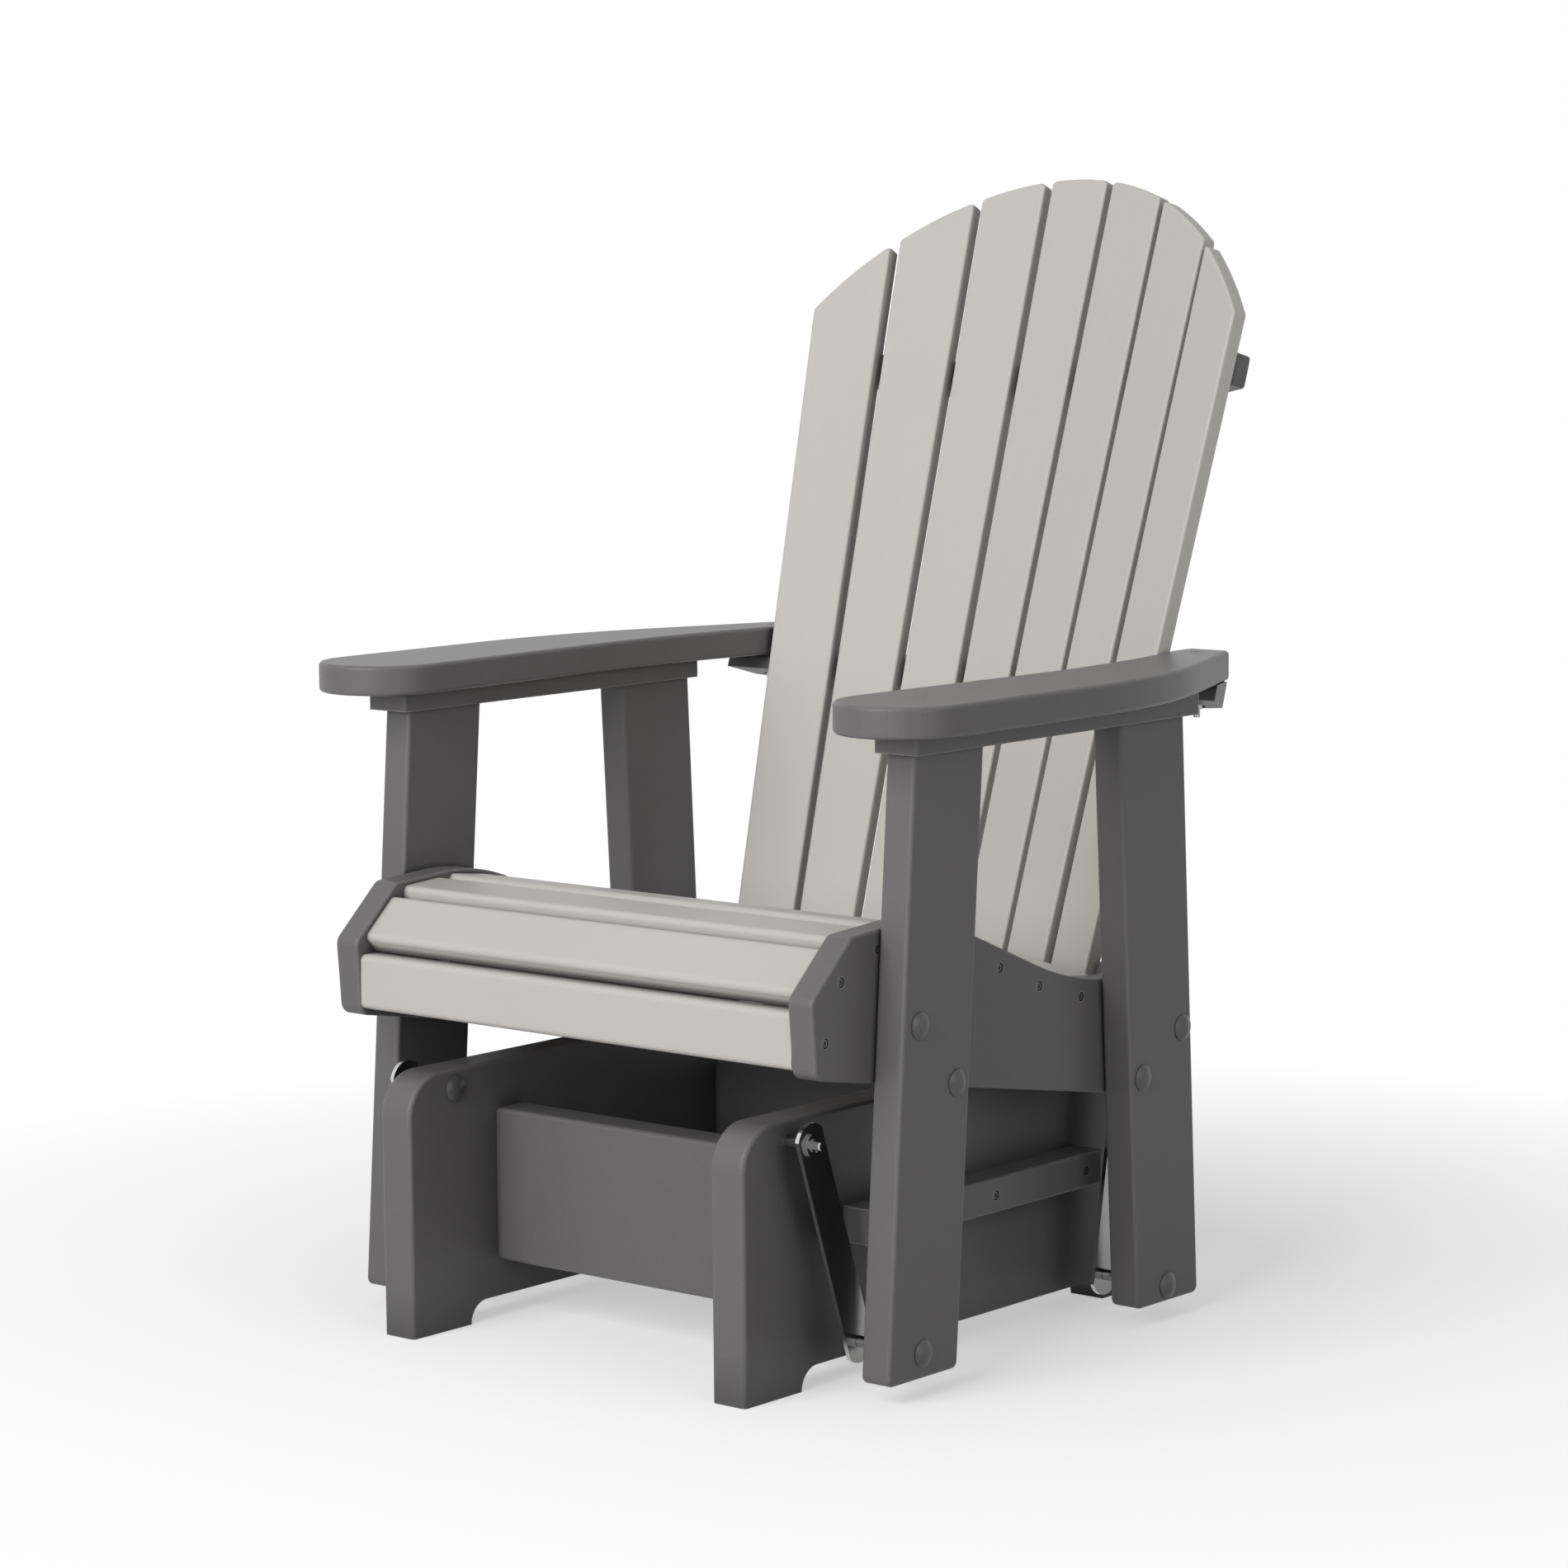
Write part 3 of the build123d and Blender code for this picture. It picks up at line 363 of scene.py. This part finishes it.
@dataclass(frozen=True)
class BoardFinish:
    """Recycled-plastic board: fine pebbled skin over faint streaks along its length.

    Attributes:
        name: Name of the material.
        tone: Colour of the board.
        turn: Angles that carry X onto the board's length.
        roughness: Middle of the roughness.
        rough_below: How far the roughness falls below its middle.
        rough_above: How far it rises above it.
        streak: How much the streaks vary the brightness.
        cloud: How much the clouds do.
        speck: How much the specks do.
        edge_highlight_gain: Brightness of the lighter edges, a painted highlight with some wear.
        edge_highlight_width: Width of the lighter edges, a painted highlight with some wear.
        crevice_shade_reach: Distance at which a neighbour still darkens the board with painted
            shade.
        crevice_shade_floor: Brightness of the painted shade in the deepest crevice.
        relief: Height of the pebbles.
        relief_share: Share of that height that shows.
        ior: Index of refraction.
        specular: Strength of the gloss.
        stretch: Scale of the streaks along, across and through the board.
        streaks: Pattern of the streaks.
        clouds: Pattern of the clouds.
        pebbles: Pattern of the skin.
        specks: Pattern of the specks.
    """

    name: str
    tone: Tone
    turn: Triple
    roughness: float = 0.46
    rough_below: float = 0.04
    rough_above: float = 0.06
    streak: float = 0.005
    cloud: float = 0.008
    speck: float = 0.018
    edge_highlight_gain: float = 1.16
    edge_highlight_width: float = 0.0022
    crevice_shade_reach: float = 0.009
    crevice_shade_floor: float = 0.30
    relief: float = 0.00016
    relief_share: float = 0.4
    ior: float = 1.45
    specular: float = 0.36
    stretch: Triple = (1.2, 22.0, 22.0)
    streaks: Pattern = Pattern(4.0, 4.0, 0.55)
    clouds: Pattern = Pattern(7.0, 2.0, 0.5)
    pebbles: Pattern = Pattern(900.0, 2.0, 0.55)
    specks: Pattern = Pattern(1500.0, 1.0, 0.5, 0.35, 0.65)

    def build(self) -> bpy.types.Material:
        """Makes the material.

        Returns:
            The finished material.
        """
        graph = MaterialGraph(self.name)
        shader = graph.add("ShaderNodeBsdfPrincipled")
        shader.inputs["IOR"].default_value = self.ior
        shader.inputs["Specular IOR Level"].default_value = self.specular
        along = graph.coordinates(self.turn, self.stretch)
        even = graph.coordinates(self.turn)
        graph.paint(
            shader,
            self.tone.value,
            graph.mottle(along, self.streaks, self.streak),
            graph.mottle(even, self.clouds, self.cloud),
            graph.mottle(even, self.specks, self.speck),
            # Lighter edges: a painted highlight, with some wear.
            graph.edges(self.edge_highlight_width, self.edge_highlight_gain),
            # Painted shade in the crevices between parts.
            graph.crevice_shade(self.crevice_shade_reach, self.crevice_shade_floor),
        )
        pebbles = graph.noise(even, self.pebbles)
        least = self.roughness - self.rough_below
        most = self.roughness + self.rough_above
        rough = graph.vary(pebbles, self.pebbles, least, most)
        graph.link(rough, shader.inputs["Roughness"])
        graph.emboss(shader, pebbles, self.relief_share, self.relief)
        return graph.material


@dataclass(frozen=True)
class SteelFinish:
    """Stainless steel: polished or plain, with fine drawing marks and smears.

    Attributes:
        name: Name of the material.
        roughness: Level of the roughness.
        turn: Angles that carry X onto the drawing marks.
        colour: Linear red, green and blue.
        reflection_share: Share of the colour that is left on faces that look sideways, where a
            dark reflection is painted.
        rough_low: Least share of the roughness.
        rough_high: Greatest share of the roughness.
        smear_low: Brightness of the darkest smears.
        smear_high: Brightness of the palest smears.
        relief: Depth of the drawing marks.
        relief_share: Share of that depth that shows.
        stretch: Scale of the marks along, across and through the steel.
        marks: Pattern of the drawing marks.
        smears: Pattern of the smears.
    """

    name: str
    roughness: float
    turn: Triple = (0.0, 0.0, 0.0)
    colour: Triple = (0.64, 0.64, 0.63)
    reflection_share: float = 0.48
    rough_low: float = 0.7
    rough_high: float = 1.4
    smear_low: float = 0.94
    smear_high: float = 1.04
    relief: float = 0.00002
    relief_share: float = 0.2
    stretch: Triple = (2.0, 300.0, 300.0)
    marks: Pattern = Pattern(6.0, 3.0, 0.6, 0.25, 0.75)
    smears: Pattern = Pattern(45.0, 3.0, 0.6)

    def build(self) -> bpy.types.Material:
        """Makes the material.

        Returns:
            The finished material.
        """
        graph = MaterialGraph(self.name)
        shader = graph.add("ShaderNodeBsdfPrincipled")
        shader.inputs["Metallic"].default_value = 1.0
        smears = graph.noise(graph.coordinates(self.turn), self.smears)
        smeared = graph.vary(smears, self.smears, self.smear_low, self.smear_high)
        # Faces that look sideways are darkened: a painted dark reflection.
        graph.paint(shader, self.colour, smeared, graph.sideways_dark_reflection(self.reflection_share))
        marks = graph.noise(graph.coordinates(self.turn, self.stretch), self.marks)
        least = self.roughness * self.rough_low
        most = self.roughness * self.rough_high
        rough = graph.vary(marks, self.marks, least, most)
        graph.link(rough, shader.inputs["Roughness"])
        graph.emboss(shader, marks, self.relief_share, self.relief)
        return graph.material


@dataclass(frozen=True)
class MouldedFinish:
    """Satin moulded plastic of a cap, or the coating of a screw head.

    Attributes:
        name: Name of the material.
        colour: Linear red, green and blue.
        roughness: Middle of the roughness.
        metallic: Zero for plastic, one for bare metal.
        rough_below: How far the roughness falls below its middle.
        rough_above: How far it rises above it.
        scuff: How much the scuffs vary the brightness.
        relief: Height of the grain.
        relief_share: Share of that height that shows.
        grain: Pattern of the skin.
        scuffs: Pattern of the scuffs.
    """

    name: str
    colour: Triple
    roughness: float
    metallic: float = 0.0
    rough_below: float = 0.04
    rough_above: float = 0.06
    scuff: float = 0.07
    relief: float = 0.00005
    relief_share: float = 0.3
    grain: Pattern = Pattern(1400.0, 2.0, 0.5)
    scuffs: Pattern = Pattern(120.0, 3.0, 0.6)

    def build(self) -> bpy.types.Material:
        """Makes the material.

        Returns:
            The finished material.
        """
        graph = MaterialGraph(self.name)
        shader = graph.add("ShaderNodeBsdfPrincipled")
        shader.inputs["Metallic"].default_value = self.metallic
        even = graph.coordinates()
        graph.paint(shader, self.colour, graph.mottle(even, self.scuffs, self.scuff))
        grain = graph.noise(even, self.grain)
        least = self.roughness - self.rough_below
        most = self.roughness + self.rough_above
        rough = graph.vary(grain, self.grain, least, most)
        graph.link(rough, shader.inputs["Roughness"])
        graph.emboss(shader, grain, self.relief_share, self.relief)
        return graph.material


Finish = BoardFinish | SteelFinish | MouldedFinish

DARK_CAP = MouldedFinish("dark_cap", (0.090, 0.086, 0.088), 0.34)
DARK_SCREW = MouldedFinish("dark_screw", (0.105, 0.101, 0.103), 0.30, 0.5)
# The plain steel's sideways faces carry a painted dark reflection too.
PLAIN_STEEL = SteelFinish("plain_steel", 0.14, colour=(0.50, 0.50, 0.51), reflection_share=0.55)


def board(tone: Tone, grain: Grain) -> BoardFinish:
    """Names the finish of a board whose grain runs in one of the usual directions.

    Args:
        tone: Its colour.
        grain: Its direction.

    Returns:
        The finish.
    """
    name = f"{tone.name.lower()}_board_{grain.name.lower()}"
    if tone is Tone.LIGHT:
        return BoardFinish(name, tone, grain.value)
    # Dark boards get a strong painted highlight along their edges.
    return BoardFinish(name, tone, grain.value, roughness=0.40, speck=0.07, edge_highlight_gain=2.2)


class Workshop:
    """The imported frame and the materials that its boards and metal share."""

    def __init__(self, frame: dict) -> None:
        self.nodes = frame["nodes"]
        self.materials: dict[str, bpy.types.Material] = {}

    def finish(self, finish: Finish) -> bpy.types.Material:
        """Makes a finish once and hands it out again afterwards.

        Args:
            finish: The finish that is wanted.

        Returns:
            Its material.
        """
        if finish.name not in self.materials:
            self.materials[finish.name] = finish.build()
        return self.materials[finish.name]

    def dress(self, names: Iterable[str], finish: Finish) -> None:
        """Gives nodes a finish.

        Args:
            names: The nodes.
            finish: Their finish.
        """
        material = self.finish(finish)
        for name in names:
            node = self.nodes[name]
            for slot in node.material_slots:
                slot.material = material
            if not node.material_slots:
                node.data.materials.append(material)
            LOG.info("dressed %s in %s", name, finish.name)

    def place(
        self, name: str, work: bmesh.types.BMesh, finish: Finish, body: str, slot: str
    ) -> bpy.types.Object:
        """Turns finished mesh work into a piece that rides on a body.

        Args:
            name: Name of the piece.
            work: Its mesh, which is freed.
            finish: Its finish.
            body: Body that it moves with.
            slot: Material slot of the record; not used.

        Returns:
            The piece.
        """
        bmesh.ops.recalc_face_normals(work, faces=work.faces)
        mesh = bpy.data.meshes.new(name)
        work.to_mesh(mesh)
        work.free()
        mesh.materials.append(self.finish(finish))
        piece = bpy.data.objects.new(name, mesh)
        bpy.context.scene.collection.objects.link(piece)
        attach(piece, body)
        LOG.info("made %s with %d faces", name, len(mesh.polygons))
        return piece


@dataclass
class StarScrew:
    """Screw head with a star-shaped socket, which sits in a shallow recess.

    Attributes:
        radius: Radius of the head.
        thickness: Height of the head.
        rim_round: Rounding of its rim.
        rim_steps: Facets across that rounding.
        socket_radius: Middle radius of the socket.
        socket_depth: Depth of the socket.
        socket_taper: How far the socket narrows towards its floor.
        lobe_share: Height of the socket's lobes, as a share of its radius.
        lobes: Number of lobes.
        sides: Facets round the head.
    """

    radius: float = 0.0040
    thickness: float = 0.0014
    rim_round: float = 0.0004
    rim_steps: int = 2
    socket_radius: float = 0.0022
    socket_depth: float = 0.0010
    socket_taper: float = 0.0003
    lobe_share: float = 0.14
    lobes: int = 6
    sides: int = 24

    def add(self, work: bmesh.types.BMesh, matrix: Matrix) -> None:
        """Adds one head, whose local +Z points out of the board.

        Args:
            work: Mesh that it joins.
            matrix: Place of the middle of the head's underside.
        """
        before = set(work.verts)
        bmesh.ops.create_cone(
            work,
            cap_ends=True,
            segments=self.sides,
            radius1=self.radius,
            radius2=self.radius,
            depth=self.thickness,
            matrix=Matrix.Translation((0.0, 0.0, self.thickness / 2)),
        )
        made = [vert for vert in work.verts if vert not in before]
        faces = {face for vert in made for face in vert.link_faces}
        top = max(faces, key=lambda face: face.calc_center_median().z)
        rim = list(top.edges)
        bmesh.ops.inset_individual(work, faces=[top], thickness=self.radius - self.socket_radius)
        for vert in top.verts:
            angle = math.atan2(vert.co.y, vert.co.x)
            stretch = 1.0 + self.lobe_share * math.cos(self.lobes * angle)
            vert.co.x *= stretch
            vert.co.y *= stretch
        bmesh.ops.inset_individual(
            work, faces=[top], thickness=self.socket_taper, depth=-self.socket_depth
        )
        bmesh.ops.bevel(
            work,
            geom=rim,
            offset=self.rim_round,
            segments=self.rim_steps,
            profile=0.5,
            affect="EDGES",
            material=-1,
        )
        made = [vert for vert in work.verts if vert not in before]
        bmesh.ops.transform(work, matrix=matrix, verts=made)


@dataclass
class ScrewSet:
    """Screws that hold the slats to the seat sides and the rails to the base.

    Attributes:
        screw: The head that is repeated.
        recess_depth: Depth of a head's underside below the board's face.
        rear_inset: Distance of the rear slat's screws from its front edge.
        rail_setbacks: Distances of a rail's screws from the front of the base.
        turn_step: Turn of a socket from one screw to the next.
        turn_side: Turn of the sockets of one side against the middle.
    """

    screw: StarScrew = field(default_factory=StarScrew)
    recess_depth: float = 0.0022
    rear_inset: float = 0.0253
    rail_setbacks: tuple[float, ...] = (0.1760, 0.3156, 0.4547)
    turn_step: float = 0.7
    turn_side: float = 0.3

    def middle(self, name: str) -> Vector:
        """Gives the middle of a node's box."""
        low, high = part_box(name)
        return (low + high) / 2

    def seat_points(self) -> list[Vector]:
        """Lists where the slats meet the seat sides.

        Returns:
            The middles of the slats' ends.
        """
        rear = self.middle("rear_seat_slat")
        rear.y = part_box("rear_seat_slat")[0].y + self.rear_inset
        return [*(self.middle(name) for name in LEVEL_SLATS), rear]

    def rail_points(self) -> list[Vector]:
        """Lists the screws of a rail.

        Returns:
            Their middles.
        """
        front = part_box("base_side_left")[0].y
        height = self.middle("stop_rail_left").z
        return [Vector((0.0, front + setback, height)) for setback in self.rail_setbacks]

    def heads(self, points: list[Vector], outer: float) -> bmesh.types.BMesh:
        """Makes the heads on both sides of the chair.

        Args:
            points: Places along the chair, whose X isn't used.
            outer: X of the outer faces that the screws are driven into.

        Returns:
            One mesh of all the heads.
        """
        work = bmesh.new()
        depth = outer - self.recess_depth
        for index, point in enumerate(points):
            for side in (-1, 1):
                angle = index * self.turn_step + side * self.turn_side
                spin = Matrix.Rotation(angle, 4, "Z")
                lean = Matrix.Rotation(side * math.pi / 2, 4, "Y")
                place = Matrix.Translation((side * depth, point.y, point.z))
                self.screw.add(work, place @ lean @ spin)
        return work

    def build(self, shop: Workshop) -> None:
        """Makes the screws of the seat and of the rails.

        Args:
            shop: Where the pieces are finished.
        """
        seat = self.heads(self.seat_points(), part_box("seat_side_left")[1].x)
        shop.place("seat_screw_heads", seat, DARK_SCREW, "seat_unit", "bolt_caps")
        rails = self.heads(self.rail_points(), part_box("stop_rail_left")[1].x)
        shop.place("rail_screw_heads", rails, DARK_SCREW, "base", "bolt_caps")


@dataclass
class BaseTrestle:
    """Side panels, cross panels, stop rails and the upper pivots.

    Attributes:
        side_shade_reach: Distance at which a neighbour still darkens a side panel with painted
            shade.
        side_shade_floor: Brightness that the painted shade leaves in a side panel's deepest
            crevice.
    """

    side_shade_reach: float = 0.080
    side_shade_floor: float = 0.42

    def build(self, shop: Workshop) -> None:
        """Gives the base its finishes.

        Args:
            shop: Where the nodes are dressed.
        """
        # The side panels get a wide painted shade that darkens them near the legs and links
        # beside them.
        side_board = replace(
            board(Tone.DARK, Grain.UPRIGHT),
            name="base_side_board_painted_shade",
            crevice_shade_reach=self.side_shade_reach,
            crevice_shade_floor=self.side_shade_floor,
        )
        shop.dress([f"base_side_{side}" for side in SIDES], side_board)
        panels = ["base_front_panel", "base_rear_panel", "base_dowels"]
        shop.dress(panels, board(Tone.DARK, Grain.ACROSS))
        shop.dress([f"stop_rail_{side}" for side in SIDES], board(Tone.DARK, Grain.DEEP))
        pivots = ["front_pivot_studs", "rear_pivot_studs", "pivot_washers", "pivot_clips"]
        shop.dress(pivots, PLAIN_STEEL)
        shop.dress(["stud_caps"], DARK_CAP)


@dataclass
class LinkSet:
    """The four swinging flat bars.

    Attributes:
        roughness: Roughness of their polish.
        front_lean: Lean of the front bars.
        rear_lean: Lean of the rear bars.
    """

    roughness: float = 0.15
    front_lean: float = math.radians(18.5)
    rear_lean: float = math.radians(-10.2)

    def build(self, shop: Workshop) -> None:
        """Gives the links their polished steel, drawn along each bar.

        Args:
            shop: Where the nodes are dressed.
        """
        for place, lean in (("front", self.front_lean), ("rear", self.rear_lean)):
            turn = (lean, math.pi / 2, 0.0)
            finish = SteelFinish(f"{place}_link_steel", self.roughness, turn)
            shop.dress([f"{place}_link_{side}" for side in SIDES], finish)


@dataclass
class SeatUnit:
    """Legs, seat sides, seat slats and their fixings."""

    def build(self, shop: Workshop) -> None:
        """Gives the seat unit its finishes.

        Args:
            shop: Where the nodes are dressed.
        """
        legs = [f"{place}_leg_{side}" for place in ("front", "rear") for side in SIDES]
        shop.dress(legs, board(Tone.DARK, Grain.UPRIGHT))
        shop.dress([f"seat_side_{side}" for side in SIDES], board(Tone.DARK, Grain.DEEP))
        shop.dress([*LEVEL_SLATS, "rear_seat_slat"], board(Tone.LIGHT, Grain.ACROSS))
        shop.dress(["leg_bolt_caps"], DARK_CAP)
        pivots = [f"lower_pivot_{part}" for part in ("bolts", "spacers", "nuts")]
        shop.dress(["leg_bolts", "leg_bolt_nuts", *pivots], PLAIN_STEEL)


@dataclass
class FanBack:
    """The seven fan slats and the braces behind them.

    Attributes:
        recline: Lean of the back from upright.
        spreads: Sideways lean of each slat in degrees, from the sitter's left.
        turns: Turn of each slat about its length in degrees, in the same order.
        brace_half: Distance of the upper brace's cut ends from the middle.
        brace_rear: Y of the rear edge of those ends.
        end_angle: Angle of the cut to the middle plane.
        end_round: Rounding of the cut's edges.
        end_steps: Facets across that rounding.
        merge_distance: Distance at which the CAD copy's loose corners are joined.
    """

    recline: float = math.radians(17.95)
    spreads: tuple[float, ...] = (3.3, 2.3, 1.2, 0.0, -1.2, -2.3, -3.3)
    turns: tuple[float, ...] = (21.0, 16.4, 8.7, 0.0, -8.7, -16.4, -21.0)
    brace_half: float = 0.268
    brace_rear: float = 0.303
    end_angle: float = math.radians(17.0)
    end_round: float = 0.0015
    end_steps: int = 2
    merge_distance: float = 0.00001

    def upper_brace(self, shop: Workshop) -> None:
        """Replaces the upper brace with a copy whose ends are cut square to its curve.

        Args:
            shop: Where the piece is finished.
        """
        work = bmesh.new()
        work.from_mesh(shop.nodes["upper_back_brace"].data)
        bmesh.ops.remove_doubles(work, verts=work.verts, dist=self.merge_distance)
        for side in (-1, 1):
            cut = bmesh.ops.bisect_plane(
                work,
                geom=[*work.verts, *work.edges, *work.faces],
                plane_co=(side * self.brace_half, self.brace_rear, 0.0),
                plane_no=(side * math.cos(self.end_angle), -math.sin(self.end_angle), 0.0),
                clear_outer=True,
            )
            rim = [item for item in cut["geom_cut"] if isinstance(item, bmesh.types.BMEdge)]
            bmesh.ops.holes_fill(work, edges=rim, sides=0)
            bmesh.ops.bevel(
                work,
                geom=rim,
                offset=self.end_round,
                segments=self.end_steps,
                profile=0.5,
                affect="EDGES",
                clamp_overlap=True,
                material=-1,
            )
        finish = board(Tone.DARK, Grain.ACROSS)
        piece = shop.place("squared_upper_brace", work, finish, "seat_unit", "dark_boards")
        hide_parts("upper_back_brace")

    def build(self, shop: Workshop) -> None:
        """Gives each slat a grain along its own length, and the braces theirs.

        Args:
            shop: Where the nodes are dressed.
        """
        for number, (spread, turn) in enumerate(zip(self.spreads, self.turns), start=1):
            lean = Euler((-self.recline, 0.0, math.radians(-turn))).to_matrix()
            swing = Euler((0.0, math.radians(spread) - math.pi / 2, 0.0)).to_matrix()
            angles = tuple((lean @ swing).to_euler())
            finish = BoardFinish(f"fan_board_{number}", Tone.LIGHT, angles)
            shop.dress([f"back_slat_{number}"], finish)
        shop.dress(["lower_back_brace", "mid_back_brace"], board(Tone.DARK, Grain.ACROSS))
        self.upper_brace(shop)


@dataclass
class Arms:
    """Arm boards, the cleats under them and their bolts."""

    def build(self, shop: Workshop) -> None:
        """Gives the arms their finishes.

        Args:
            shop: Where the nodes are dressed.
        """
        boards = [f"{piece}_{side}" for piece in ("arm", "arm_cleat") for side in SIDES]
        shop.dress(boards, board(Tone.DARK, Grain.DEEP))
        shop.dress(["arm_bolt_caps"], DARK_CAP)
        shop.dress(["arm_bolts", "arm_bolt_nuts"], PLAIN_STEEL)


@dataclass(frozen=True)
class Lamp:
    """A square soft lamp that faces the chair.

    Attributes:
        name: Name of the lamp.
        place: Where it hangs.
        size: Width of its square.
        power: Power in watts.
        aim: Point that it faces.
    """

    name: str
    place: Triple
    size: float
    power: float
    aim: Triple = (0.0, 0.0, 0.5)

    def hang(self) -> None:
        """Hangs the lamp."""
        data = bpy.data.lights.new(self.name, "AREA")
        data.size = self.size
        data.energy = self.power
        lamp = bpy.data.objects.new(self.name, data)
        lamp.location = self.place
        ray = Vector(self.aim) - Vector(self.place)
        lamp.rotation_euler = ray.to_track_quat("-Z", "Y").to_euler()
        bpy.context.scene.collection.objects.link(lamp)


@dataclass
class Studio:
    """White floor, soft lamps and the camera.

    Attributes:
        floor_size: Width of the floor.
        floor_colour: Grey level of the floor.
        glow_near: Brightness that the camera sees added to the floor's near part.
        white_from: Distance from the chair's middle at which the floor starts to turn white.
        white_to: Distance at which it is white.
        world_light: Strength of the light from all round.
        camera_place: Where the camera stands.
        camera_turn: Angles of the camera in degrees.
        lens: Focal length in millimetres.
        sensor: Width of the sensor in millimetres.
        lamps: The lamps.
    """

    floor_size: float = 30.0
    floor_colour: float = 0.62
    glow_near: float = 0.49
    white_from: float = 0.45
    white_to: float = 1.3
    world_light: float = 0.11
    camera_place: Triple = (2.76919, -3.35502, 1.02823)
    camera_turn: Triple = (83.0242, 0.5267, 40.1629)
    lens: float = 104.75
    sensor: float = 36.0
    lamps: tuple[Lamp, ...] = (
        Lamp("front_lamp", (0.0, -4.0, 2.3), 3.2, 156.0),
        Lamp("side_lamp", (4.4, -1.2, 1.8), 2.4, 28.0),
        Lamp("top_lamp", (0.0, 0.2, 4.0), 2.6, 21.0),
    )

    def floor_material(self) -> bpy.types.Material:
        """Makes the floor's material, which keeps the shadow and turns white further out.

        Returns:
            The material.
        """
        graph = MaterialGraph("floor_white")
        seen = graph.seen()
        matte = graph.add("ShaderNodeBsdfDiffuse")
        matte.inputs["Color"].default_value = (*[self.floor_colour] * 3, 1.0)
        glow = graph.add("ShaderNodeEmission")
        graph.link(graph.spread(seen, 0.0, 1.0, 0.0, self.glow_near), glow.inputs["Strength"])
        near = graph.add("ShaderNodeAddShader")
        graph.link(matte.outputs[0], near.inputs[0])
        graph.link(glow.outputs[0], near.inputs[1])
        far = graph.add("ShaderNodeEmission")
        place = graph.add("ShaderNodeTexCoord")
        length = graph.add("ShaderNodeVectorMath", operation="LENGTH")
        graph.link(place.outputs["Object"], length.inputs[0])
        fade = graph.spread(length.outputs["Value"], self.white_from, self.white_to, 0.0, 1.0)
        graph.show_mix(graph.combine("MULTIPLY", fade, seen), near, far)
        return graph.material

    def floor(self) -> None:
        """Lays the pale floor."""
        mesh = bpy.data.meshes.new("studio_floor")
        work = bmesh.new()
        bmesh.ops.create_grid(work, x_segments=1, y_segments=1, size=self.floor_size / 2)
        work.to_mesh(mesh)
        work.free()
        mesh.materials.append(self.floor_material())
        plane = bpy.data.objects.new("studio_floor", mesh)
        bpy.context.scene.collection.objects.link(plane)

    def world(self) -> None:
        """Makes the surroundings white to the eye and plain in the light that they give."""
        world = bpy.data.worlds.new("studio_world")
        bpy.context.scene.world = world
        graph = ShaderGraph(world, "ShaderNodeOutputWorld")
        lit = graph.add("ShaderNodeBackground")
        white = graph.add("ShaderNodeBackground")
        for background, strength in ((lit, self.world_light), (white, 1.0)):
            background.inputs["Color"].default_value = (1.0, 1.0, 1.0, 1.0)
            background.inputs["Strength"].default_value = strength
        graph.show_mix(graph.seen(), lit, white)

    def camera(self) -> None:
        """Sets the camera at the viewing angle."""
        data = bpy.data.cameras.new("studio_camera")
        data.lens = self.lens
        data.sensor_width = self.sensor
        camera = bpy.data.objects.new("studio_camera", data)
        camera.location = self.camera_place
        camera.rotation_euler = [math.radians(angle) for angle in self.camera_turn]
        bpy.context.scene.collection.objects.link(camera)
        bpy.context.scene.camera = camera

    def build(self) -> None:
        """Builds the whole studio."""
        self.floor()
        self.world()
        for lamp in self.lamps:
            lamp.hang()
        self.camera()
        bpy.context.scene.view_settings.view_transform = "Standard"


def main() -> None:
    """Builds the dressed chair and its studio."""
    logging.basicConfig(level=logging.INFO, format="%(name)s: %(message)s")
    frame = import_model()
    shop = Workshop(frame)
    for assembly in (BaseTrestle(), LinkSet(), SeatUnit(), FanBack(), Arms(), ScrewSet()):
        assembly.build(shop)
        LOG.info("built %s", type(assembly).__name__)
    Studio().build()


if __name__ == "__main__":
    main()
